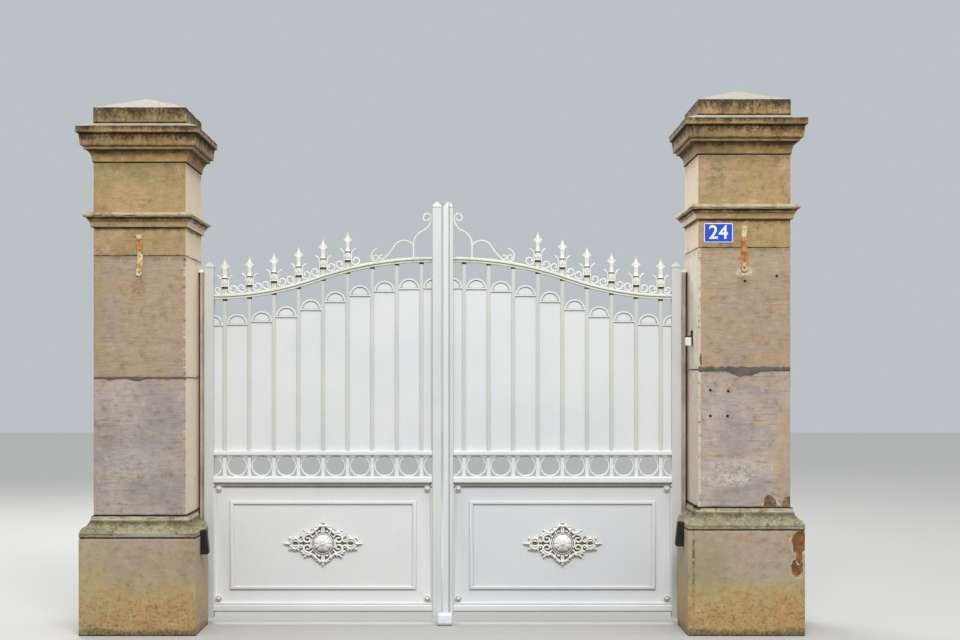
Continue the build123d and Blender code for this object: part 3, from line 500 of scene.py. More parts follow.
def sandstone(name, low, high, base, patch, warm, moss, moss_share=0.1, tooling=0.35, mottle=0.5,
              runs=(), marks=(), foot=None, joint=5 * MM, ledge=0.0, arris=None, side_light=0.8,
              lit_beads=(), faint=None):
    bench = Bench(name)
    beds = bench.cloud(2.3, 4, 0.6).ramp(0.4, 0.6)
    bench.colour = bench.blend(beds, base, patch)
    tint = bench.cloud(5.5, 5, 0.62, (1, 1, 2.1), (3.1, 0, 1.3)).ramp(0.47, 0.68)
    bench.lay(tint * 0.75, warm)
    if foot:
        damp_foot(bench, *foot)
    fine = bench.cloud(24, 7, 0.74)
    bench.lay(fine.ramp(0.5, 0.72) * mottle, GRAIN_DIRT)
    bench.lay(fine.ramp(0.48, 0.3) * mottle * 1.2, GLOW, kind="SCREEN")
    chisel = bench.cloud(9, 5, 0.68, (1, 1, 13))
    bench.lay(chisel.ramp(0.52, 0.68) * tooling, (112, 88, 62))
    bench.lay(chisel.ramp(0.46, 0.34) * tooling, GLOW, kind="SCREEN")
    pits = bench.cloud(46, 3, 0.6, (0.6, 0.6, 2.0)).ramp(0.69, 0.75)
    bench.lay(pits * 0.4, (70, 56, 42))
    # Painted light: faces that look sideways are made paler, as the piers' inner faces look in a
    # brighter light.
    side = abs(bench.facing[0]).ramp(0.6, 0.95)
    bench.lay(side * side_light, (250, 230, 206))
    if arris:
        worn_arris(bench, *arris)
    upward = bench.facing[2].ramp(0.1, 0.7)
    spread = bench.cloud(4.2, 5, 0.66, (1, 1, 1), (0, 5, 2))
    growth = (spread.ramp(0.66 - 0.3 * moss_share, 0.8) + upward * moss_share).smaller(1.0)
    bench.lay(growth * bench.cloud(60, 4, 0.7).ramp(0.3, 0.6), moss)
    lichen = bench.facing[2].ramp(0.55, 0.9) * bench.cloud(38, 5, 0.75).ramp(0.26, 0.56) * ledge
    bench.lay(lichen, (164, 159, 147))
    for run in runs:
        soot_run(bench, *run)
    for mark in marks:
        front_mark(bench, fine, *mark)
    # Painted highlight: a pale band along each rounded moulding.
    for bead_foot, bead_top, share in lit_beads:
        above = bench.z.ramp(bead_foot - 2 * MM, bead_foot + 4 * MM)
        below = bench.z.ramp(bead_top, bead_top - 4 * MM)
        bench.lay(above * below * fine.ramp(0.7, 0.4) * share, (190, 182, 156))
    seam = (bench.z - low).smaller(high - bench.z)
    dark_line = (seam - bench.cloud(30, 4, 0.65) * joint).ramp(joint * 0.7, -0.1 * joint)
    if faint is not None:
        broken = bench.cloud(6, 4, 0.7).ramp(0.44, 0.6) * 0.5 + 0.2
        dark_line = dark_line * (abs(bench.z - faint).ramp(12 * MM, 24 * MM) + broken).smaller(1.0)
    bench.lay(dark_line * 0.92, (52, 42, 33))
    grain = bench.cloud(210, 3, 0.7)
    bench.lay(grain.ramp(0.5, 0.7) * 0.2, (90, 74, 54))
    height = grain * 0.3 + fine * 1.1 + chisel * 0.5 - pits * 0.9 - dark_line * 1.5
    return bench.finish(0.92, height, 0.6, 2.4 * MM)


# %% [markdown]
# Every stone on the photographed piers has aged in its own way: the low ones are pink-grey with
# grey lichen, the plinths turn ochre and rust towards the wet ground, the necks are yellow and
# green under the cornice, and the caps are nearly black where soot has never been washed off.
# The table holds one mix a kind, and the few marks that belong to one pier only are added by side.

# %% One mix for each kind of stone
stone_mixes = {
    "plinth": dict(base=(172, 155, 137), patch=(154, 140, 120), warm=(176, 149, 114),
                   moss=(124, 124, 70), moss_share=0.16, mottle=0.6, tooling=0.1, side_light=0.2,
                   foot=(0.27, (184, 158, 108))),
    "base_moulding": dict(base=(178, 170, 146), patch=(134, 130, 98), warm=(164, 148, 116),
                          moss=(84, 86, 46), moss_share=0.5, mottle=1.4, tooling=0.1, joint=6 * MM,
                          ledge=0.12, side_light=0.3),
    "lower_shaft_stone": dict(base=(178, 164, 158), patch=(158, 147, 142), mottle=0.65,
                              warm=(182, 158, 134), moss=(134, 138, 134), moss_share=0.24,
                              tooling=0.42),
    "middle_shaft_stone": dict(base=(171, 149, 126), patch=(163, 145, 129), mottle=0.6,
                               warm=(174, 148, 113), moss=(142, 136, 100), moss_share=0.08,
                               tooling=0.38, joint=3 * MM),
    "capital_stone": dict(base=(168, 144, 102), patch=(174, 144, 112), warm=(150, 126, 76),
                          moss=(118, 110, 56), moss_share=0.4, mottle=0.8, tooling=0.25,
                          joint=3 * MM, ledge=0.5),
    "cornice": dict(base=(158, 132, 86), patch=(122, 99, 58), warm=(172, 142, 86),
                    moss=(116, 104, 56), moss_share=0.3, mottle=0.9, tooling=0.15, joint=4 * MM,
                    ledge=1.0, side_light=0.15),
    "top_block": dict(base=(160, 139, 94), patch=(140, 121, 80), warm=(170, 143, 88),
                      moss=(100, 92, 54), moss_share=0.45, mottle=1.0, tooling=0.1, ledge=1.4,
                      side_light=0.15),
}
print("stone kinds:", ", ".join(stone_mixes))


# %% Ledges and beads
ASTRAGAL_FOOT, ASTRAGAL_BEAD, ASTRAGAL_TOP = 147 * MM, 195 * MM, 222 * MM
CORNICE_FILLET_FOOT, CORONA_FOOT, CORONA_TOP, FASCIA_TOP = 63 * MM, 80 * MM, 144 * MM, 178 * MM
BASE_BEAD, TOP_BLOCK_EDGE = 22 * MM, 87 * MM


def ledges(low, high):
    """Soot runs under the ledges of a stone, each as height, reach and strength, by kind."""
    return {
        "base_moulding": ((high - 24 * MM, 0.06, 0.45), (low + 80 * MM, 0.05, 0.4),
                          (low + 22 * MM, 0.03, 0.4)),
        "lower_shaft_stone": ((high, 0.03, 0.3),),
        "middle_shaft_stone": ((high, 0.05, 0.25),),
        "capital_stone": ((high, 0.1, 0.25), (low + ASTRAGAL_BEAD, 0.03, 0.9),
                          (low + ASTRAGAL_FOOT, 0.04, 0.5)),
        "cornice": ((low + FASCIA_TOP, 0.05, 0.9), (low + CORONA_TOP, 0.085, 1.0),
                    (low + CORNICE_FILLET_FOOT, 0.06, 0.6)),
        "top_block": ((high - TOP_BLOCK_EDGE, 0.13, 0.9),),
    }


def bead_highlights(low, high):
    """The rounded mouldings painted pale as a highlight, each as foot, top and how pale, by kind."""
    return {
        "base_moulding": ((high - BASE_BEAD, high, 0.8),),
        "capital_stone": ((low + ASTRAGAL_BEAD, low + ASTRAGAL_TOP, 0.75),),
        "cornice": ((low + CORNICE_FILLET_FOOT, low + CORONA_FOOT, 0.35),),
    }


print("kinds with soot runs:", len(ledges(0, 0)), "and with pale beads:", len(bead_highlights(0, 0)))

# %% [markdown]
# Marks of one pier only. Iron lost from the right plinth's corner left orange scars where the skin
# of the stone fell off, the foot of its shaft was patched with cement, and drill holes show where
# something was once screwed on. Each mark is an ellipse on the front face, and noise frays its edge.

# %% Marks on the fronts
IRON_ORANGE = (150, 100, 50)
HOLE = 7 * MM                 # the radius of a drill hole

front_marks = {    # x and z of the middle, half width, half height, colour, softness of the edge
    "right_plinth": [
        (1.832, 0.482, 0.044, 0.06, IRON_ORANGE, 0.08), (1.818, 0.35, 0.03, 0.045, IRON_ORANGE, 0.1),
        (1.828, 0.41, 0.016, 0.04, IRON_ORANGE, 0.1), (1.37, 0.42, 0.1, 0.22, (158, 152, 108), 0.9),
        (1.287, 0.36, 0.007, 0.2, (70, 72, 46), 0.6),
    ],
    "left_plinth": [
        (-1.86, 0.34, 0.16, 0.3, (176, 166, 116), 0.9), (-1.7, 0.53, 0.22, 0.03, (134, 128, 84), 0.9),
    ],
    "right_lower_shaft_stone": [
        (1.69, 0.668, 0.036, 0.046, (148, 130, 112), 0.1),
        (1.786, 0.664, 0.034, 0.044, (152, 130, 104), 0.1),
        (1.52, 1.02, 0.09, 0.07, (150, 142, 142), 0.9), (1.55, 0.86, 0.2, 0.05, (196, 187, 180), 0.9),
        (1.48, 0.79, 0.12, 0.03, (210, 202, 196), 0.8), (1.76, 0.95, 0.05, 0.25, (184, 160, 112), 0.9),
    ],
    "right_middle_shaft_stone": [
        (1.334, 1.41, 0.005, 0.036, (92, 80, 70), 0.25),
        (1.56, 1.825, 0.035, 0.06, (140, 114, 82), 0.9),
        (1.565, 1.866, 0.045, 0.022, (222, 210, 184), 0.6),
    ],
    "left_middle_shaft_stone": [
        (-1.56, 1.80, 0.035, 0.07, (138, 112, 80), 0.9), (-1.77, 1.66, 0.03, 0.3, (158, 142, 92), 0.9),
    ],
    "left_lower_shaft_stone": [
        (-1.49, 1.0, 0.1, 0.1, (142, 142, 140), 0.9), (-1.6, 0.88, 0.14, 0.09, (182, 176, 172), 0.9),
        (-1.5, 0.72, 0.13, 0.05, (150, 144, 142), 0.9),
    ],
    "left_capital_stone": [
        (-1.77, 2.3, 0.09, 0.12, (142, 130, 74), 0.9), (-1.57, 2.38, 0.06, 0.08, (140, 128, 76), 0.9),
        (-1.62, 2.24, 0.13, 0.08, (192, 156, 124), 0.9),
    ],
    "right_capital_stone": [
        (1.41, 2.38, 0.05, 0.12, (116, 110, 66), 0.8), (1.44, 2.26, 0.1, 0.07, (150, 138, 88), 0.9),
    ],
    "left_base_moulding": [
        (-1.49, 0.512, 0.15, 0.012, (160, 156, 146), 0.3), (-1.82, 0.55, 0.12, 0.04, (96, 98, 50), 0.9),
    ],
    "right_base_moulding": [
        (1.308, 0.652, 0.024, 0.024, (138, 100, 60), 0.12),
        (1.6, 0.59, 0.34, 0.06, (120, 114, 84), 0.9),
    ],
}
drill_holes = {
    "right_lower_shaft_stone": [(1.383, 1.257), (1.475, 1.252), (1.383, 1.124), (1.471, 1.124)],
    "right_middle_shaft_stone": [(1.725, 1.845), (1.561, 1.819)],
}
print("marks on", len(front_marks), "stones")

# %% [markdown]
# ## Gate paint
# Thick ivory gloss paint, put on by brush over many years. It is nearly one colour, so what makes
# it paint is small: a slow drift between warmer and cooler ivory, faint grey rain streaks, a few
# dirt specks, thin green in the hollows of the top rail, and the soft ripple of brushed gloss.
# Shade in a piece's own hollows is painted from ambient occlusion, and shade on faces that look
# down is painted too, with some dirt. Where two pieces meet, the shadow is painted as a line at
# the place of the joint.

# %% Paint
panel_low, panel_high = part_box("right_kick_panel")
ROSETTE_X, _, ROSETTE_Z = (panel_low + panel_high) / 2
ROSETTE_REACH = (0.2, 0.108)


def panel_shadows(bench, eaves):
    """Painted shadow lines under the panel's rail and bead, and painted shade with some grime behind
    its rosette.
    """
    # Painted shadow lines under the bead and under the rail.
    under_bead = bench.z.ramp(eaves - 30 * MM, eaves - 22 * MM)
    under_bead = under_bead * bench.z.ramp(eaves - 15 * MM, eaves - 18 * MM)
    under_rail = bench.z.ramp(eaves - 5 * MM, eaves - 2 * MM)
    line = under_bead.larger(under_rail) * (bench.cloud(30, 3) * 0.5 + 0.6)
    bench.lay(line.smaller(0.85), (92, 84, 60))
    # Painted shade, with some grime, on the panel behind the rosette.
    along = abs(abs(bench.x) - ROSETTE_X) / ROSETTE_REACH[0]
    off_middle = along + abs(bench.z - ROSETTE_Z) / ROSETTE_REACH[1]
    behind = off_middle.ramp(1.06, 0.94) * (bench.cloud(40, 4, 0.7) * 0.6 + 0.5)
    bench.lay(behind.smaller(0.8) * bench.facing[1].ramp(-0.4, -0.8), (116, 108, 90))


def paint(name, colour, cool, streak=0.1, green=0.0, ripple=0.12, rough=0.4, under=0.35, hollow_shade=0.75,
          eaves=None, shadow_lines=()):
    """Brushed gloss. The under share is painted shade, with some dirt, on faces that look down; the
    hollow share is painted shade from ambient occlusion; the lines given as (x, share) are painted
    shadow beside a joint.
    """
    bench = Bench(name)
    bench.colour = bench.blend(bench.cloud(2.4, 3, 0.5).ramp(0.3, 0.7), colour, cool)
    rain = bench.cloud(9, 4, 0.65, (7, 7, 0.4)).ramp(0.52, 0.8)
    bench.lay(rain * streak, (150, 148, 132))
    dust = bench.cloud(34, 4, 0.6).ramp(0.6, 0.8) + bench.facing[2].ramp(0.4, 0.95) * 0.5
    bench.lay((dust * 0.16).smaller(1.0), (160, 154, 134))
    # Painted shade, with some dirt, on faces that look down.
    shaded = bench.facing[2].ramp(-0.12, -0.7) * (bench.cloud(30, 4, 0.65) * 0.8 + 0.35)
    bench.lay((shaded * under).smaller(1.0), (104, 94, 66))
    # Painted shade in the piece's own hollows, from ambient occlusion.
    hollow = bench.node("ShaderNodeAmbientOcclusion", {"Distance": 22 * MM}, out=1, samples=6,
                        only_local=True)
    bench.lay(hollow.ramp(0.8, 0.3) * hollow_shade, (96, 88, 66))
    if eaves:
        panel_shadows(bench, eaves)
    # Painted shadow lines beside joints, where one piece stands proud of the next.
    for corner_x, share in shadow_lines:
        joint_shadow = abs(bench.x - corner_x).ramp(7 * MM, 2 * MM) * (bench.cloud(22, 4, 0.7) * 0.5 + 0.7)
        bench.lay((joint_shadow * share).smaller(1.0), (124, 120, 104))
    cell = bench.node("ShaderNodeTexVoronoi", {"Vector": bench.place, "Scale": 46})
    bench.lay(cell.ramp(0.1, 0.035) * bench.cloud(7, 2).ramp(0.58, 0.66) * 0.5, (92, 84, 66))
    if green:
        near_middle = abs(bench.x).ramp(0.72, 0.1)
        wet = bench.cloud(26, 5, 0.7).ramp(0.4, 0.66) * near_middle * bench.facing[2].ramp(-0.9, 0.4)
        bench.lay(wet * green, (150, 156, 120))
    height = bench.cloud(210, 2, 0.5) * 0.5 + bench.cloud(32, 2, 0.5, (1, 1, 0.22))
    return bench.finish(bench.cloud(15, 3, 0.6) * 0.14 + (rough - 0.07), height, ripple, 0.7 * MM)


print("the rosettes are", round(ROSETTE_X, 3), "m from the middle")

# %% Ivory for each part of the leaves
# Painted shadow lines at the edges of the meeting stiles and the cover strip.
stile_shadow_lines = (
    (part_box("left_meeting_stile")[0].x, 0.7), (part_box("right_cover_strip")[1].x + 3 * MM, 0.6),
    (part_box("right_meeting_stile")[1].x, 0.4),
)
ivory_meeting = paint("ivory_meeting_stiles", (214, 217, 214), (207, 211, 210), shadow_lines=stile_shadow_lines)
ivory_strip = paint("ivory_cover_strip", (219, 221, 223), (216, 218, 222))
ivory = paint("ivory_gloss", (226, 228, 228), (219, 222, 222))
ivory_stile = paint("ivory_hinge_stiles", (203, 204, 202), (195, 197, 197))
ivory_bar = paint("ivory_bars", (205, 206, 199), (197, 199, 194), streak=0.2)
ivory_rail = paint("ivory_top_rail", (219, 220, 210), (209, 211, 198), streak=0.16, green=0.5,
                   under=0.6)
ivory_sheet = paint("ivory_sheet", (221, 223, 225), (215, 218, 220), streak=0.05, rough=0.46,
                    hollow_shade=1.0, under=0.8)
panel_ivories = {
    "left": ((225, 226, 226), (220, 221, 223)), "right": ((217, 219, 222), (213, 215, 219)),
}
ivory_panel = {
    side: paint(f"ivory_panel_{side}", *panel_ivories[side], streak=0.06, rough=0.46, hollow_shade=0.95,
                eaves=panel_high.z)
    for side in SIDES
}
ivory_cast = paint("ivory_castings", (230, 230, 220), (220, 220, 208), streak=0.25, ripple=0.3,
                   under=0.3)
ivory_rosette = paint("ivory_rosette", (238, 238, 233), (226, 225, 215), streak=0.2, ripple=0.3,
                      hollow_shade=0.9, under=0.9)
print("paint mixed")


# %% [markdown]
# The jambs are an older red-brown oil paint, dull, chalky and stained by the stone beside them.
# Their outer edge is painted near black, as the shadow of the open joint against the stone.

# %% Jamb finish
# From here outwards the jamb is painted near black, a painted shadow of the open joint against the
# stone.
JAMB_SHADOW = 1.311              # from here outwards the joint against the stone is open and dark
jamb_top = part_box("right_jamb")[1].z - 18 * MM


def jamb_paint():
    bench = Bench("brown_jamb_paint")
    drift = bench.cloud(5, 4, 0.6).ramp(0.35, 0.65)
    bench.colour = bench.blend(drift, (200, 184, 172), (166, 150, 140))
    chalk = bench.cloud(60, 4, 0.65, (1, 1, 0.3)).ramp(0.52, 0.75)
    bench.lay(chalk * 0.35, (140, 118, 106))
    rust = bench.cloud(22, 5, 0.7).ramp(0.66, 0.74)
    bench.lay(rust * 0.6, (120, 62, 34))
    # Painted shadow of the open joint beside the stone.
    bench.lay(abs(bench.x).ramp(JAMB_SHADOW, JAMB_SHADOW + 1 * MM), (22, 18, 16))
    bench.lay(bench.z.ramp(jamb_top, jamb_top + 1 * MM), (226, 224, 220))
    return bench.finish(rust * 0.25 + 0.5, chalk * 0.4 + rust + bench.cloud(180, 2), 0.25, 0.6 * MM)


brown = jamb_paint()
print("jambs are", brown.name)

# %% [markdown]
# ## Small fittings
# Moulded plastic has a fine even grain and gathers dust on top. Enamel is glass on steel: deep,
# even and very smooth. The stop is zinc, scratched by wheels and dark where it meets the ground.

# %% Finishes of the fittings
def plastic(name, colour, rough, grime):
    bench = Bench(name, colour)
    dust = bench.cloud(40, 4, 0.6).ramp(0.45, 0.75) * 0.25 + bench.facing[2].ramp(0.3, 0.9) * 0.5
    bench.lay((dust * grime).smaller(1.0), (140, 134, 120))
    height = bench.cloud(900, 1) + bench.cloud(50, 2) * 0.5
    return bench.finish(bench.cloud(30, 3) * 0.15 + rough, height, 0.15, 0.2 * MM)


def enamel(name, colour):
    bench = Bench(name, colour)
    bench.lay(bench.cloud(16, 3).ramp(0.3, 0.8) * 0.1, (70, 120, 190))
    height = bench.cloud(22, 2, 0.4)
    return bench.finish(bench.cloud(40, 3) * 0.08 + 0.12, height, 0.12, 0.8 * MM, Coat_Weight=0.5)


def worn_metal():
    bench = Bench("worn_zinc")
    patches = bench.cloud(30, 4, 0.6).ramp(0.3, 0.7)
    bench.colour = bench.blend(patches, (250, 252, 255), (226, 234, 246))
    scratches = bench.cloud(60, 3, 0.6, (0.2, 1, 6)).ramp(0.55, 0.75)
    bench.lay(scratches * 0.4, (110, 112, 118))
    bench.lay(bench.z.ramp(0.02, 0.0) * 0.8, (60, 56, 54))
    return bench.finish(scratches * 0.2 + 0.3, scratches, 0.2, 0.3 * MM, Metallic=0.1)


black_plastic = plastic("black_plastic", (16, 16, 18), 0.45, 0.2)
white_plastic = plastic("white_plastic", (226, 228, 230), 0.4, 0.5)
blue_enamel = enamel("blue_enamel", (6, 70, 214))
white_enamel = enamel("white_enamel", (232, 236, 240))
zinc = worn_metal()
print("fittings finished")

# %% [markdown]
# ## The stones
# On the real piers each stone is a block with its edges knocked soft by a century of weather.
# The CAD parts give the exact mouldings, so each stone starts as a copy of one. Its sharp edges
# are bevelled, bisect cuts lay a grid over the faces, and the grid lets the weather in: every
# point sinks a little, and points on an arris sink more, in bites. A displace modifier would also
# push points out past the block, so the points are moved in code, inwards only. Scars sink the
# same way.

# %% How a stone weathers
GRID = 26 * MM
HOLLOW = 1.4 * MM             # how deep the faces wear
SCAR_DEPTH = 7 * MM
ARRIS = 0.22                  # how far a normal leans where a point counts as fully on an arris


def cut_grid(piece, low, high, spacing):
    edit(piece)
    for axis in range(3):
        direction = [0, 0, 0]
        direction[axis] = 1
        count = max(1, round((high[axis] - low[axis]) / spacing))
        for i in range(1, count):
            place = list(low)
            place[axis] = low[axis] + (high[axis] - low[axis]) * i / count
            bpy.ops.mesh.select_all(action="SELECT")
            bpy.ops.mesh.bisect(plane_co=place, plane_no=direction)
    leave_edit()


def weather(piece, wave, bite, seed, marks):
    """Sink the faces by up to wave, the edges by up to bite, and the scars by their depth."""
    shift = Vector((seed * 3.7, seed * 1.9, seed * 5.3))
    normals = [vertex.normal.copy() for vertex in piece.data.vertices]
    for vertex, normal in zip(piece.data.vertices, normals):
        place = vertex.co + shift
        edge = min(1, (1 - max(abs(c) for c in normal)) / ARRIS)
        hollow = wave * (0.5 + 0.5 * noise.fractal(place * 9, 1.0, 2.0, 3))
        chip = bite * max(0, noise.fractal(place * 17, 0.8, 2.1, 4) - 0.1) * 2.4
        sink = max(0, hollow) + chip * edge
        if normal.y < -0.5:
            for x, z, half_width, half_height, _, softness in marks:
                off = ((vertex.co.x - x) / half_width) ** 2 + ((vertex.co.z - z) / half_height) ** 2
                off += 0.8 * noise.fractal(place * 26, 1.0, 2.0, 3)
                if softness < SCAR_SOFTNESS and off < 1:
                    sink += SCAR_DEPTH * min(1, (1 - off) * 4)
        vertex.co -= normal * sink
    piece.data.update()


print("a grid of", round(GRID / MM), "mm lets the weather in")

# %% Weathered stones
STONE_BEVEL = 3
USUAL_BITE = 5                # how deep the weather bites into an arris, in millimetres
stone_bite = {"plinth": 8, "base_moulding": 10, "cornice": 6, "top_block": 7}
for side in SIDES:
    for index, (kind, mix) in enumerate(stone_mixes.items()):
        node = f"{side}_{kind}"
        low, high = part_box(node)
        stone = bevel(copy_of_node(node, f"{node}_weathered"), STONE_BEVEL)
        cut_grid(stone, low, high, GRID)
        apply(stone, "SUBSURF", subdivision_type="SIMPLE", levels=1, render_levels=1)
        marks = front_marks.get(node, [])
        bite = stone_bite.get(kind, USUAL_BITE) * MM
        weather(stone, HOLLOW, bite, index + 10 * (side == "right"), marks)
        inner = min((low.x, high.x), key=abs)
        shaft = kind.endswith("_shaft_stone")
        close_joint = {"capital_stone": low.z, "middle_shaft_stone": high.z}.get(kind)
        finish = sandstone(f"sandstone_{node}", low.z, high.z, marks=marks, faint=close_joint,
                           runs=ledges(low.z, high.z).get(kind, ()),
                           lit_beads=bead_highlights(low.z, high.z).get(kind, ()),
                           arris=(inner, low.y, side == "right") if shaft else None, **mix)
        deliver(smooth(stone, 40), finish, "root", node)
print("stones weathered:", 2 * len(stone_mixes))

# %% [markdown]
# The drill holes are dark plugs let into the face. Each starts as a cylinder at its size
# and place; its front cap is inset and pushed back a little, so that a thin rim shows around it.

# %% Drill holes
bench = Bench("drill_hole")
bench.colour = bench.blend(bench.cloud(90, 3).ramp(0.4, 0.7), (30, 25, 20), (58, 48, 38))
hole_finish = bench.finish(0.95)
holes = []
for node, places in drill_holes.items():
    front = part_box(node)[0].y
    for x, z in places:
        clear_selection()
        bpy.ops.mesh.primitive_cylinder_add(vertices=20, radius=HOLE, depth=4 * MM, rotation=TO_FRONT,
                                            location=(x, front + 1.2 * MM, z))
        hole = settle(bpy.context.object, "hole")
        edit(hole, lambda face: face.normal.y < -0.9)
        bpy.ops.mesh.inset(thickness=0.8 * MM)
        bpy.ops.transform.translate(value=(0, 0.4 * MM, 0))
        leave_edit()
        holes.append(hole)
deliver(join(holes, "drill_holes"), hole_finish, "root")
print("drill holes:", sum(len(places) for places in drill_holes.values()))

# %% [markdown]
# The joint below the middle stone was raked out and filled with hard grey mortar, spread wide and
# left rough. It is modelled as a strip: a grid laid on the joint, its lower edge pulled down in a
# tongue, its edges frayed by noise, and a solidify modifier gives it the few millimetres it stands
# proud. The same maker's hand is on both piers, but on the left the strip is thin.

# %% Mortar in the joints
bench = Bench("hard_mortar")
bench.colour = bench.blend(bench.cloud(16, 4, 0.6).ramp(0.35, 0.65), (104, 98, 92), (82, 76, 70))
sand = bench.cloud(150, 3, 0.7)
bench.lay(sand.ramp(0.55, 0.7) * 0.4, (160, 150, 138))
mortar = bench.finish(0.9, sand + bench.cloud(40, 4), 0.6, 1.5 * MM)


def fill_joint(side, top, foot, tongues, seed):
    """A strip over one joint of a front; tongues are (x, depth, half width)."""
    low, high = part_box(f"{side}_lower_shaft_stone")
    clear_selection()
    bpy.ops.mesh.primitive_grid_add(x_subdivisions=120, y_subdivisions=8, size=1)
    strip = bpy.context.object
    for vertex in strip.data.vertices:
        along, up = vertex.co.x + 0.5, vertex.co.y + 0.5
        x = low.x + 2 * MM + along * (high.x - low.x - 4 * MM)
        reach = foot
        for middle, depth, half in tongues:
            reach += depth * max(0, 1 - ((x - middle) / half) ** 2)
        crown = top * (1 + 0.6 * noise.fractal(Vector((x * 30, seed, 0)), 0.9, 2.0, 4))
        drop = reach * (1 + 0.5 * noise.fractal(Vector((x * 22, seed + 5, 0)), 0.9, 2.0, 4))
        swell = 1.2 * MM * math.sin(math.pi * up)
        vertex.co = Vector((x, low.y - swell + 0.2 * MM, high.z + crown - (1 - up) * (crown + drop)))
    strip = settle(strip, f"{side}_mortar_joint")
    apply(strip, "SOLIDIFY", thickness=2 * MM, offset=0)
    deliver(smooth(strip, 50), mortar, "root")


fill_joint("right", 0.014, 0.008, [(1.555, 0.026, 0.09), (1.345, 0.006, 0.03)], 3.0)
fill_joint("left", 0.002, 0.004, [(-1.57, 0.012, 0.05), (-1.71, 0.008, 0.03)], 8.0)
print("joints filled:", len(SIDES))

# %% [markdown]
# ## Where the small castings go
# Several small castings repeat along each leaf, beside or over every bar. The bars, the spears and
# the scrolls each share one CAD part, so the places are read back from it: the part falls into
# loose islands, and the box of each island says where its bar, spear or scroll stands.

# %% Where the bars, spears and scrolls stand
def islands(node):
    """The box of every loose piece of one CAD part, from left to right."""
    piece = copy_of_node(node, "scratch")
    root = list(range(len(piece.data.vertices)))

    def find(i):
        while root[i] != i:
            root[i] = root[root[i]]
            i = root[i]
        return i

    for edge in piece.data.edges:
        root[find(edge.vertices[0])] = find(edge.vertices[1])
    groups = {}
    for vertex in piece.data.vertices:
        groups.setdefault(find(vertex.index), []).append(vertex.co.copy())
    bpy.data.objects.remove(piece)
    boxes = [
        [Vector([end(point[axis] for point in points) for axis in range(3)]) for end in (min, max)]
        for points in groups.values()
    ]
    return sorted(boxes, key=lambda box: box[0].x)


leaf_bars, leaf_spears, leaf_scrolls = [
    {side: islands(f"{side}_{kind}") for side in SIDES} for kind in ("bars", "spears", "scrolls")
]
LEAF_MIDDLE = sum(corner.y for corner in leaf_bars["right"][0]) / 2
print("bars", [len(v) for v in leaf_bars.values()], "spears", [len(v) for v in leaf_spears.values()])

# %% [markdown]
# ## The leaves' frames, bars and sheets
# Steel tube and bar have small round edges, and they catch the light along every stile. The CAD
# parts are already the real forms, so a softened copy of each takes its place: merged, bevelled
# by a millimetre or two, and shaded smooth except where it turns sharply. Weighted normals then
# let the wide faces shade flat, as sheet and tube do.

# %% Softened copies of the ironwork
soft_parts = {                # width of the bevel in millimetres, and the finish
    "hinge_stile": (2.2, ivory_stile), "meeting_stile": (2.2, ivory_meeting),
    "top_rail": (1.0, ivory_rail), "upper_mid_rail": (1.2, ivory),
    "lower_mid_rail": (1.2, ivory), "bottom_rail": (1.5, ivory),
    "bars": (1.6, ivory_bar), "slats": (0.8, ivory_sheet), "ring_band": (1.6, ivory),
    "scrolls": (1.4, ivory_cast),
}


def soften(node, width, finish, body):
    piece = smooth(bevel(copy_of_node(node, f"{node}_soft"), width, 32), 38)
    apply(piece, "WEIGHTED_NORMAL", keep_sharp=True)
    return deliver(piece, finish, body, node)


soft = {}
for side in SIDES:
    for kind, (width, finish) in soft_parts.items():
        soft[side, kind] = soften(f"{side}_{kind}", width, finish, f"{side}_leaf")
soften("right_cover_strip", 1.0, ivory_strip, "right_leaf")
print("softened", len(soft) + 1, "parts of the leaves")

# %% [markdown]
# ## Growing a casting, bending a bar
# A cast spear is a stack: stub, block, collar, neck. One way is to spin an outline, but this one
# is square, so it is grown instead. A cube is the stub; its top face is extruded and scaled again
# and again, once for each line of a short list of heights and half-widths. A scroll is a round bar
# that bends and swells, so it is a curve through a few points, made into a mesh.

# %% Grown castings and strokes of bar
def grown(outline, name):
    """A square casting on the Z axis from (height, half-width) pairs in millimetres."""
    foot, half = outline[0]
    top, _ = outline[1]
    clear_selection()
    bpy.ops.mesh.primitive_cube_add(size=1, location=(0, 0, (foot + top) / 2 * MM))
    piece = bpy.context.object
    piece.scale = (2 * half * MM, 2 * half * MM, (top - foot) * MM)
    edit(settle(piece, name), lambda face: face.normal.z > 0.9)
    level, width = top, half
    for height, half in outline[2:]:
        rise = (0, 0, (height - level) * MM)
        spread = (half / width, half / width, 1)
        bpy.ops.mesh.extrude_region_move(TRANSFORM_OT_translate={"value": rise})
        bpy.ops.transform.resize(value=spread, center_override=(0, 0, height * MM))
        level, width = height, half
    leave_edit()
    return piece


def curve_mesh(line, name, scale=(1, 1, 1), turn=(0, 0, 0)):
    """The mesh of a curve."""
    piece = bpy.data.objects.new(name, line)
    bpy.context.scene.collection.objects.link(piece)
    pick(piece)
    bpy.ops.object.convert(target="MESH")
    piece = bpy.context.object
    piece.scale = scale
    piece.rotation_euler = turn
    return settle(piece, name)


def stroke(points, radius, name, squash=1.0):
    """A round bar through (x, z, share of radius) points in millimetres, lying in the XZ plane."""
    line = bpy.data.curves.new(name, "CURVE")
    line.dimensions = "3D"
    line.bevel_depth = radius * MM
    line.bevel_resolution = 2
    line.resolution_u = 5
    line.use_fill_caps = True
    spline = line.splines.new("BEZIER")
    spline.bezier_points.add(len(points) - 1)
    for knot, (x, z, share) in zip(spline.bezier_points, points):
        knot.co = (x * MM, 0, z * MM)
        knot.radius = share
        knot.handle_left_type = knot.handle_right_type = "AUTO"
    return curve_mesh(line, name, scale=(1, squash, 1))


print("a casting grows from pairs of height and half-width")
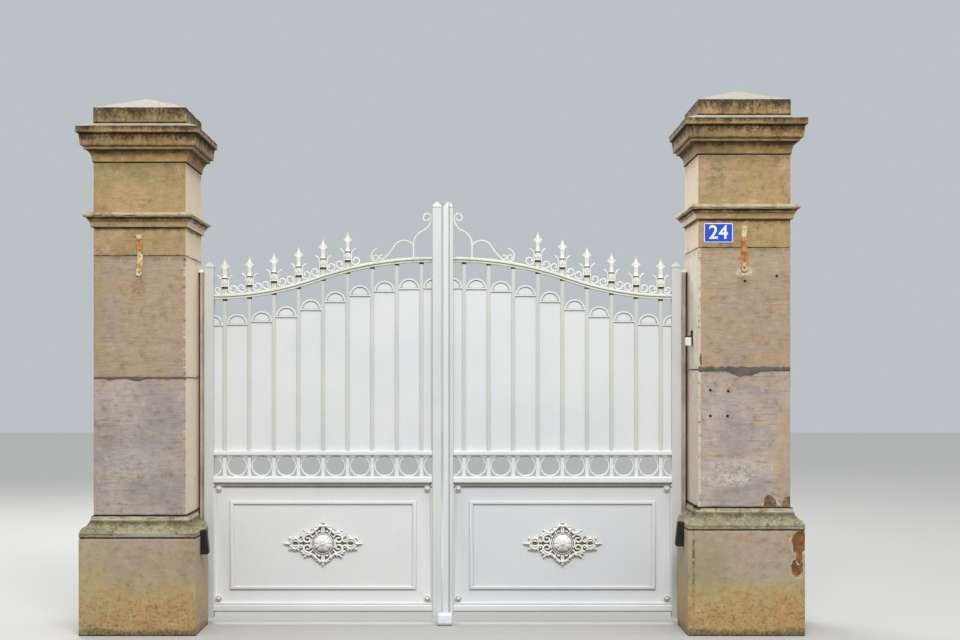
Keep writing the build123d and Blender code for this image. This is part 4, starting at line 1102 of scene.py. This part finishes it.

# %% [markdown]
# ## Spears
# Each spear stands on the top rail above a bar. Rain sits at both collars and rusts them, and they
# stand in shade, so they are a piece of their own in a dark finish of rust and painted shade.
# Between them is the block with its crossed ribs, and above them a neck that flares upwards into
# the head, a kite over two thin arms. The head's outline is a flat curve with a little depth,
# turned into a mesh, with a tapering ridge through it.

# %% One spear
SPEAR_HEIGHT = 206
SPEAR_OUTLINE = (
    (4, 10), (51, 10), (51.5, 15), (53, 16.2), (56, 15.5), (58, 12.8), (66, 14.2), (76, 15), (86, 14),
    (94, 12.2), (96, 14.5), (98, 15.8), (101, 15), (103, 10.8), (108, 9.4), (125, 9.2), (140, 10),
    (152, 11.5), (159, 8),
)
RIDGE_OUTLINE = ((146, 8), (160, 9.5), (172, 7), (188, 3.2), (205, 0.4))
COLLARS = (((43, 16.5), (51.2, 16.5)), ((94.4, 15.6), (100.6, 15.6)))
HEAD_OUTLINE = (
    (0, SPEAR_HEIGHT), (3, 194), (6.5, 184), (11, 175), (17, 168.5), (25, 163.5), (25.5, 160),
    (18.5, 158), (14, 154.5), (12.5, 148), (9, 134),
)
HEAD_HALF_DEPTH = 3.6
RIB = ((-11, 60, 0.8), (0, 76, 1), (11, 92, 0.8))
RIB_RADIUS, RIB_DEPTH = 2.4, 14.5


def spear_head(name):
    line = bpy.data.curves.new(name, "CURVE")
    line.dimensions = "2D"
    line.fill_mode = "BOTH"
    line.extrude = HEAD_HALF_DEPTH * MM
    spline = line.splines.new("POLY")
    ring = list(HEAD_OUTLINE) + [(-x, z) for x, z in reversed(HEAD_OUTLINE[1:])]
    spline.points.add(len(ring) - 1)
    for knot, (x, z) in zip(spline.points, ring):
        knot.co = (x * MM, z * MM, 0, 1)
    spline.use_cyclic_u = True
    return bevel(curve_mesh(line, name, turn=TO_FRONT), 1.2, 40)


pieces = [bevel(grown(SPEAR_OUTLINE, "spear_shaft"), 1.3, 25), grown(RIDGE_OUTLINE, "spear_ridge"),
          spear_head("spear_head")]
for lean in (-1, 1):
    rib = stroke([(x * lean, z, share) for x, z, share in RIB], RIB_RADIUS, "rib")
    for depth in (-RIB_DEPTH, RIB_DEPTH):
        pieces.append(duplicate(rib, "rib", (0, depth * MM, 0)))
    bpy.data.objects.remove(rib)
spear = smooth(join(pieces, "spear"))
collar = bevel(join([grown(outline, "collar") for outline in COLLARS], "spear_collar"), 1.6)
print("one spear has", len(spear.data.polygons), "faces")

# %% [markdown]
# The collars and the welds of the bars are dark: rusted iron where rain sits, and painted shade
# where they stand under the block and the rail. Where a bar runs up into the top rail, its weld has
# rusted to a lump. A cube a little wider than the bar, bevelled round and pressed under the rail,
# is enough at this size.

# %% A row of spears and of welds on each leaf
WELD = (25, 25, 10)           # its sides, in millimetres

# Dark rust with painted shade, for the collars and for the welds under the rail.
bench = Bench("rust_and_shade")
bench.colour = bench.blend(bench.cloud(60, 4, 0.7).ramp(0.4, 0.65), (34, 28, 20), (96, 78, 52))
rust_and_shade = bench.finish(0.85, bench.cloud(120, 3), 0.4, 0.8 * MM)


def weld(low, high):
    clear_selection()
    place = ((low.x + high.x) / 2, LEAF_MIDDLE, high.z - WELD[2] / 2 * MM)
    bpy.ops.mesh.primitive_cube_add(size=1, location=place)
    lump = bpy.context.object
    lump.scale = [size * MM for size in WELD]
    return bevel(settle(lump, "lump"), 3)


for side in SIDES:
    places = [Vector(((low.x + high.x) / 2, LEAF_MIDDLE, high.z - SPEAR_HEIGHT * MM))
              for low, high in leaf_spears[side]]
    row = join([duplicate(spear, "spear", place) for place in places], f"{side}_cast_spears")
    deliver(smooth(row), ivory_cast, f"{side}_leaf", f"{side}_spears")
    collars = join([duplicate(collar, "collar", place) for place in places], f"{side}_spear_collars")
    deliver(smooth(collars), rust_and_shade, f"{side}_leaf")
bpy.data.objects.remove(spear)
bpy.data.objects.remove(collar)
for side in SIDES:
    welds = join([weld(low, high) for low, high in leaf_bars[side]], f"{side}_bar_welds")
    deliver(smooth(welds), rust_and_shade, f"{side}_leaf")
print("on each leaf:", len(leaf_spears["right"]), "spears and", len(leaf_bars["right"]), "welds")

# %% [markdown]
# ## Scrolls beside the spears
# Each spear stands between two scrolls of thin bar: an ear that hooks outwards beside the block, a
# stem down its side, and an open curl that rests on the rail and ends in a knob. A smith bends them
# one by one over the horn of the anvil. Here each is a stroke through a few points, fitted to the
# space of its CAD scroll. The tall scroll and the arch by the meeting stile keep their CAD form.

# %% Ears and open curls
STEM = 18.8                   # from the spear's middle to the scroll's stem
EAR = ((43, -4, 0.7), (36, -7, 1), (27.5, -15, 1), (21, -28, 1), (STEM, -44, 1))
CURL = (
    (STEM, 27, 1), (23, 10, 1), (38, 3.5, 1), (54, 8.5, 1), (61, 22, 1), (55, 35, 1), (43, 39, 1),
    (32.5, 34, 1), (30, 25, 1.1), (33, 20, 1.5),
)
CURL_REACH = CURL[4][0]
CURL_MARGIN = 3.5             # from the curl's middle line to the edge of its CAD scroll
SCROLL_BAR, SCROLL_SQUASH = 4.1, 1.7
BESIDE = (10 * MM, 46 * MM)   # how far from its spear's middle such a scroll has its own middle
TALL_SCROLL = 0.14            # from this height on a scroll keeps its CAD form


def open_scroll(centre, low, high):
    """The stroke that takes the place of one CAD scroll; centre is the middle of its spear."""
    away = 1 if low.x + high.x > 2 * centre else -1
    reach = max(abs(low.x - centre), abs(high.x - centre)) / MM - CURL_MARGIN
    fit = (reach - STEM) / (CURL_REACH - STEM)
    points = [(x, high.z / MM + z, share) for x, z, share in EAR]
    points += [(STEM + (x - STEM) * fit, low.z / MM + z * fit, share) for x, z, share in CURL]
    points = [(centre / MM + away * x, z, share) for x, z, share in points]
    line = stroke(points, SCROLL_BAR, "open_scroll", SCROLL_SQUASH)
    for vertex in line.data.vertices:
        vertex.co.y += LEAF_MIDDLE
    return line


print("a curl reaches", CURL_REACH, "mm from its spear")

# %% A pair of scrolls at each spear
for side in SIDES:
    kept = soft[side, "scrolls"]
    centres = [(low.x + high.x) / 2 for low, high in leaf_spears[side]]
    curls, gone = [], []
    for low, high in leaf_scrolls[side]:
        middle = (low.x + high.x) / 2
        centre = min(centres, key=lambda c: abs(c - middle))
        if BESIDE[0] < abs(centre - middle) < BESIDE[1] and high.z - low.z < TALL_SCROLL:
            curls.append(open_scroll(centre, low, high))
            gone.append((low, high))
    edit(kept, lambda vertex: any(
        low.x - MM < vertex.co.x < high.x + MM and low.z - MM < vertex.co.z < high.z + MM
        for low, high in gone
    ), "VERT")
    bpy.ops.mesh.delete(type="VERT")
    leave_edit()
    smooth(join([kept, *curls], kept.name), 40)
    print("open scrolls on the", side, "leaf:", len(curls))

# %% [markdown]
# ## Kick panels
# The foot of each leaf is a sheet held by a moulded bead, with a raised rectangle on it that hangs
# a little low. A bead could be swept round the frame, but insets do it more simply: a plane is
# inset step by step, and after each step its inner face is moved back or forward, so every corner
# comes out mitred. A second such plane is the back, and a bridge between the two rims closes it.

# %% Panels by insets
BEAD_STEPS = ((4, 0), (1.5, 5), (2.5, 4.5), (4, 3.5), (8, 3))    # inset and step back, millimetres
BEAD_RISE = 16                # how far the bead stands out from the sheet
MARGIN = 64                   # from the bead to the raised rectangle
MOULDING_DROP = 9             # how far the rectangle hangs below the middle
MOULDING_STEPS = (
    (1.5, -4.5), (2, -2.5), (3, -1.5), (4.5, -0.5), (2, 0), (4.5, 0.5), (3, 1.5), (2, 2.5), (1.5, 4.5),
)
SHEET_FRONT, SHEET_BACK = LEAF_MIDDLE - 6 * MM, LEAF_MIDDLE + 6 * MM


def inset_steps(steps, towards):
    """Inset the selected face step by step, moving it back after each; towards is -1 for a front."""
    for thickness, back in steps:
        bpy.ops.mesh.inset(thickness=thickness * MM)
        bpy.ops.transform.translate(value=(0, -towards * back * MM, 0))


def inset_plane(low, high, depth, towards, moulded):
    """A rectangle at y = depth with a bead round it, and a raised rectangle if it is moulded."""
    clear_selection()
    place = ((low.x + high.x) / 2, depth, (low.z + high.z) / 2)
    turn = (math.radians(-90 * towards), 0, 0)
    bpy.ops.mesh.primitive_plane_add(size=1, location=place, rotation=turn)
    plane = bpy.context.object
    plane.scale = (high.x - low.x, high.z - low.z, 1)
    edit(settle(plane, "plane"))
    inset_steps(BEAD_STEPS, towards)
    if moulded:
        bpy.ops.mesh.inset(thickness=MARGIN * MM)
        bpy.ops.transform.translate(value=(0, 0, -MOULDING_DROP * MM))
        inset_steps(MOULDING_STEPS, towards)
    leave_edit()
    return plane


print("a sheet is", round((SHEET_BACK - SHEET_FRONT) / MM), "mm between its beads")

# %% A panel on each leaf
panel_box = {}
for side in SIDES:
    low, high = panel_box[side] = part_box(f"{side}_kick_panel")
    front = inset_plane(low, high, SHEET_FRONT - BEAD_RISE * MM, -1, moulded=True)
    back = inset_plane(low, high, SHEET_BACK + BEAD_RISE * MM, 1, moulded=False)
    panel = join([front, back], f"{side}_moulded_panel")
    edit(panel, lambda edge: False, "EDGE")
    bpy.ops.mesh.select_non_manifold(use_wire=False, use_multi_face=False, use_non_contiguous=False,
                                     use_verts=False)
    bpy.ops.mesh.bridge_edge_loops()
    bpy.ops.mesh.select_all(action="SELECT")
    bpy.ops.mesh.normals_make_consistent(inside=False)
    leave_edit()
    deliver(smooth(panel, 30), ivory_panel[side], f"{side}_leaf", f"{side}_kick_panel")
print("panel faces:", len(panel.data.polygons))

# %% [markdown]
# A cast knob sits in each corner of the panel. It is turned work: a cylinder whose front cap is
# inset and moved in steps makes a rim, a groove and a domed button.

# %% Corner knobs
KNOB_RADIUS, KNOB_DEPTH = 17, 10
KNOB_FROM_SIDE, KNOB_FROM_EDGE = 26 * MM, 30 * MM
KNOB_STEPS = ((1.5, -1.5), (2.2, -0.3), (1.3, 3), (1.2, 0), (1.2, -4), (2.2, -3), (3, -2), (2.4, -0.6))


def knob(place):
    clear_selection()
    bpy.ops.mesh.primitive_cylinder_add(vertices=28, radius=KNOB_RADIUS * MM, depth=KNOB_DEPTH * MM,
                                        location=place, rotation=TO_FRONT)
    piece = settle(bpy.context.object, "knob")
    edit(piece, lambda face: face.normal.y < -0.9)
    inset_steps(KNOB_STEPS, -1)
    leave_edit()
    return piece


for side, (low, high) in panel_box.items():
    knobs = [
        knob((x, SHEET_FRONT - KNOB_DEPTH / 2 * MM, z))
        for x in (low.x + KNOB_FROM_SIDE, high.x - KNOB_FROM_SIDE)
        for z in (low.z + KNOB_FROM_EDGE, high.z - KNOB_FROM_EDGE)
    ]
    deliver(smooth(join(knobs, f"{side}_corner_knobs"), 50), ivory_cast, f"{side}_leaf")
print("knobs:", len(panel_box) * 4)

# %% [markdown]
# ## Rosettes
# The ornament on each panel is a pierced casting: a flower in a ring, set in a lozenge of leafy
# scrolls with a bud at top and foot and a point at each end. It is the same in all four quarters,
# so one quarter is drawn with strokes that swell and taper and with pointed beads for leaves, then
# mirrored twice.

# %% One quarter of the leafwork
QUARTER_STROKES = (           # points of each bar: x, z and share of its thickness
    ((4, 98, 0.9), (16, 94, 1.2), (32, 80, 0.7)),
    ((26, 84, 0.7), (40, 74, 1.3), (54, 58, 0.7)),
    ((46, 66, 0.7), (62, 57, 1.15), (80, 60, 1.1), (97, 66, 0.5)),
    ((88, 60, 0.8), (104, 48, 1.0), (112, 32, 0.7)),
    ((60, 44, 0.7), (76, 49, 1.0), (94, 43, 1.1), (104, 27, 1.1), (97, 12, 1.0), (82, 8, 0.95),
     (70, 17, 0.9), (74, 29, 0.8), (85, 30, 0.7)),
    ((104, 20, 0.9), (118, 10, 1.0), (128, 14, 1.0), (138, 26, 1.1), (158, 25, 1.1), (172, 14, 1.0),
     (178, 2, 0.9)),
    ((128, 1, 0.6), (136, 11, 0.8), (150, 14, 0.8), (164, 9, 0.8), (168, 1, 0.7)),
    ((58, 22, 0.8), (64, 10, 0.9), (66, 0, 0.9)),
    ((4, 60, 1.0), (5, 76, 0.8), (4, 92, 1.0)), ((32, 50, 0.9), (38, 60, 0.7), (42, 72, 0.9)),
    ((53, 34, 0.9), (63, 41, 0.7), (72, 52, 0.8)), ((14, 62, 0.6), (22, 66, 0.9), (28, 57, 0.6)),
)
QUARTER_LEAVES = (            # place, length, width and turn in degrees
    ((18, 100), 11, 6, -24), ((31, 90), 9, 5.5, 20), ((43, 79), 11, 6, -40), ((56, 66), 9, 5.5, 10),
    ((74, 65), 9, 5.5, 30), ((97, 69), 12, 6.5, 48), ((114, 42), 11, 6, -40), ((108, 54), 9, 5, 0),
    ((132, 34), 10, 6, 60), ((150, 34), 10, 6, 10), ((178, 28), 11, 6.5, 55), ((168, 30), 8, 5.5, -30),
    ((120, 22), 9, 6, 20), ((88, 30), 7, 7, 0), ((90, 44), 8, 5, -30),
)
LEAF_DEPTH = 6.5
STROKE = 7
PINCH = 0.55                  # how much a leaf narrows at its tips


def leaf_bead(place, length, width, turn):
    """A pointed bead: a ball, stretched and pinched towards its tips."""
    clear_selection()
    bpy.ops.mesh.primitive_uv_sphere_add(segments=12, ring_count=8, radius=1)
    bead = bpy.context.object
    for vertex in bead.data.vertices:
        pinch = 1 - PINCH * abs(vertex.co.z) ** 2
        vertex.co.x *= pinch
        vertex.co.y *= pinch
    bead.rotation_euler = (0, math.radians(90 - turn), 0)
    bead.scale = (width * MM, LEAF_DEPTH * MM, length * MM)
    bead.location = (place[0] * MM, 0, place[1] * MM)
    return settle(bead, "bead")


def with_mirror_copy(piece, axis):
    """The piece and its copy mirrored through the rosette's middle along one axis."""
    twin = duplicate(piece, "mirrored")
    edit(twin)
    bpy.ops.transform.mirror(constraint_axis=axis, center_override=(0, 0, 0))
    bpy.ops.mesh.flip_normals()
    leave_edit()
    return join([piece, twin], "leafwork")


parts = [stroke(points, STROKE, "stroke", 1.15) for points in QUARTER_STROKES]
parts += [leaf_bead(*values) for values in QUARTER_LEAVES]
lozenge = join(parts, "quarter")
for axis in ((True, False, False), (False, False, True)):
    lozenge = with_mirror_copy(lozenge, axis)
print("leafwork faces:", len(lozenge.data.polygons))

# %% [markdown]
# The flower is a flattened ball. Its points are moved in code: they sink between the eight petals
# and the rim is drawn in there, which gives the petals round ends. Its back ends inside the sheet.
# A ring and a button sit on top, and two hoops and a dished plate hold the flower.

# %% The flower
FLOWER_RADIUS = 51
FLOWER_RISE, FLOWER_BACK = 25, 7
PETALS = 8

clear_selection()
bpy.ops.mesh.primitive_uv_sphere_add(segments=96, ring_count=24, radius=1, rotation=TO_FRONT)
flower = settle(bpy.context.object, "flower")
for vertex in flower.data.vertices:
    x, y, z = vertex.co
    petal = abs(math.sin(PETALS / 2 * math.atan2(z, x))) ** 0.4
    outward = min(1, max(0, (math.hypot(x, z) - 0.3) / 0.4))
    draw = 1 - 0.05 * (1 - petal) * outward
    rise = 1 - 0.14 * (1 - petal) * outward
    reach = rise * FLOWER_RISE if y < 0 else FLOWER_BACK
    vertex.co = Vector((x * draw * FLOWER_RADIUS, y * reach, z * draw * FLOWER_RADIUS)) * MM
print("petals:", PETALS)

# %% Its hoops, buds, tips and dish
LIFT = 8                      # from the sheet to the middle plane of the casting
HOOPS = ((54, 3.0, -3), (64, 2.6, 0), (14, 2.2, -24))    # radius, thickness, depth
BUDS = (                      # radius and place
    (9, (0, -22, 0)), (10, (0, -3, 94)), (8, (0, -3, 113)), (4.5, (0, -3, 124)), (10, (0, -3, -96)),
    (7, (0, -3, -110)),
)
TIP = ((174, 0, 1.3), (192, 0, 0.95), (215, 0, 0.2))
DISH_RADIUS, DISH_DEPTH = 56, 3

extras = []
for major, minor, depth in HOOPS:
    clear_selection()
    bpy.ops.mesh.primitive_torus_add(major_segments=56, minor_segments=10, major_radius=major * MM,
                                     minor_radius=minor * MM, location=(0, depth * MM, 0),
                                     rotation=TO_FRONT)
    extras.append(settle(bpy.context.object, "hoop"))
for radius, place in BUDS:
    clear_selection()
    bpy.ops.mesh.primitive_uv_sphere_add(segments=20, ring_count=12, radius=radius * MM,
                                         location=[c * MM for c in place])
    extras.append(settle(bpy.context.object, "bud"))
for turn in (1, -1):
    extras.append(stroke([(x * turn, z, share) for x, z, share in TIP], STROKE, "tip", 1.1))
clear_selection()
bpy.ops.mesh.primitive_cylinder_add(vertices=56, radius=DISH_RADIUS * MM, depth=DISH_DEPTH * MM,
                                    location=(0, (LIFT - 2) * MM, 0), rotation=TO_FRONT)
extras.append(settle(bpy.context.object, "dish"))
rosette = join([lozenge, flower, *extras], "rosette")
print("rosette faces:", len(rosette.data.polygons))

# %% A rosette on each panel
for side, (low, high) in panel_box.items():
    middle = ((low.x + high.x) / 2, SHEET_FRONT - LIFT * MM, (low.z + high.z) / 2)
    casting = smooth(duplicate(rosette, f"{side}_cast_rosette", middle), 40)
    deliver(casting, ivory_rosette, f"{side}_leaf", f"{side}_rosette")
bpy.data.objects.remove(rosette)
print("rosettes hung on both panels")

# %% [markdown]
# ## Fittings on the piers
# Jambs, photocells, the sensor and the ground stop keep their CAD forms with softened edges.

# %% Softened fittings
for side in SIDES:
    soften(f"{side}_jamb", 1.5, brown, "root")
    soften(f"{side}_photocell", 2.5, black_plastic, "root")
soften("right_sensor_bracket", 1.0, black_plastic, "root")
soften("right_sensor_box", 1.5, white_plastic, "root")
soften("ground_stop", 4.0, zinc, "root")
print("fittings softened")

# %% [markdown]
# ## Old iron straps
# A flat iron once tied each capital. What is left is a ragged tongue of rust with old cream paint
# on it. The CAD strap is cut into a fine grid and its points are pulled in from the edges by
# noise, so its outline is eaten away as rust does it.

# %% Rust under flaking paint
def flaking_paint(name, rust_low, rust_high):
    """Rust between two heights, with cream paint above and below it."""
    bench = Bench(name)
    crust = bench.cloud(55, 6, 0.72)
    bench.colour = bench.blend(crust.ramp(0.4, 0.6), (138, 84, 44), (198, 138, 84))
    bench.lay(bench.cloud(95, 4, 0.7).ramp(0.6, 0.72) * 0.85, (84, 46, 26))
    patches = bench.cloud(24, 5, 0.7, (1.4, 1, 0.7))
    above = bench.z.ramp(rust_high - 0.03, rust_high + 0.03)
    below = bench.z.ramp(rust_low + 0.03, rust_low - 0.03)
    cover = (patches * 1.5 + (above + below) * 0.32 - 0.32).ramp(0.56, 0.64)
    bench.lay(cover, bench.blend(bench.cloud(40, 4).ramp(0.4, 0.6), (214, 202, 168), (180, 166, 120)))
    bench.lay(bench.cloud(64, 5, 0.75).ramp(0.6, 0.7) * 0.8, (116, 70, 34))
    return bench.finish(0.85, crust * 0.8 + cover * 0.6, 0.7, 1.5 * MM)


strap_rust = {"left": (0.55, 0.95), "right": (0.12, 0.74)}    # shares of the strap's height
print("rust from and to:", strap_rust)

# %% Rusted straps
STRAP_GRID = 8 * MM
EATEN = 7 * MM
PITTED = 1.6 * MM
BENT = 3 * MM
ROUND_END = (12 * MM, 8 * MM)    # where the strap's foot is rounded, and how far its corners rise

for side in SIDES:
    node = f"{side}_iron_strap"
    low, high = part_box(node)
    strap = copy_of_node(node, f"{node}_rusted")
    cut_grid(strap, low, high, STRAP_GRID)
    middle = (low.x + high.x) / 2
    for vertex in strap.data.vertices:
        gnaw = EATEN * (0.5 + 1.3 * noise.fractal(Vector((2.0, vertex.co.z * 24, middle)), 0.9, 2.0, 4))
        inwards = (vertex.co.x - middle) / (high.x - middle)
        vertex.co.x -= inwards * max(0, gnaw)
        vertex.co.y += PITTED * abs(noise.fractal(vertex.co * 50, 0.9, 2.0, 3))
        vertex.co.x += BENT * math.sin(vertex.co.z * 30)
        if vertex.co.z < low.z + ROUND_END[0]:
            vertex.co.z += ROUND_END[1] * abs(inwards) ** 2
    ends = [low.z + share * (high.z - low.z) for share in strap_rust[side]]
    rust = flaking_paint(f"flaking_iron_{side}", *ends)
    deliver(smooth(strap, 45), rust, "root", node)
print("straps rusted")

# %% [markdown]
# ## House number
# Enamel on steel: a blue plate with a white line near its edge and white figures. The plate is a
# cube with rounded corners whose front is inset for the line.

# %% Enamel number plate
PLATE_CORNER = 7 * MM
PLATE_LINE = 4.5 * MM

low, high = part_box("number_plate")
clear_selection()
bpy.ops.mesh.primitive_cube_add(size=1, location=(low + high) / 2)
plate = bpy.context.object
plate.scale = high - low
settle(plate, "enamel_plate")
ends = plate.data.vertices
edit(plate, lambda line: abs(ends[line.vertices[0]].co.y - ends[line.vertices[1]].co.y) > MM, "EDGE")
bpy.ops.mesh.bevel(offset=PLATE_CORNER, segments=4, affect="EDGES")
leave_edit()
plate.data.materials.append(blue_enamel)
plate.data.materials.append(white_enamel)
edit(plate, lambda face: face.normal.y < -0.9)
bpy.ops.mesh.inset(thickness=PLATE_LINE)
leave_edit()
inner = next(face for face in plate.data.polygons if face.select)
for face in plate.data.polygons:
    face.material_index = 1 if face.normal.y < -0.9 and face.index != inner.index else 0
smooth(bevel(plate, 0.8, 60), 40)
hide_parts("number_plate")
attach(plate, "root")
print("plate faces:", len(plate.data.polygons))

# %% [markdown]
# The figures are text made into a mesh, a little thickened and raised as fired enamel is.

# %% Figures
FIGURES = "24"
FIGURE_SIZE = 98 * MM
FIGURE_SWELL = 1.6 * MM
FIGURE_RISE = 0.4 * MM

bpy.ops.object.text_add(location=((low.x + high.x) / 2, low.y - 0.1 * MM, (low.z + high.z) / 2),
                        rotation=TO_FRONT)
figures = bpy.context.object
figures.data.body = FIGURES
figures.data.size = FIGURE_SIZE
figures.data.align_x = figures.data.align_y = "CENTER"
figures.data.offset = FIGURE_SWELL
figures.data.extrude = FIGURE_RISE
figures.data.space_character = 1.05
pick(figures)
bpy.ops.object.convert(target="MESH")
deliver(settle(bpy.context.object, "plate_figures"), white_enamel, "root")
print("figures:", FIGURES)
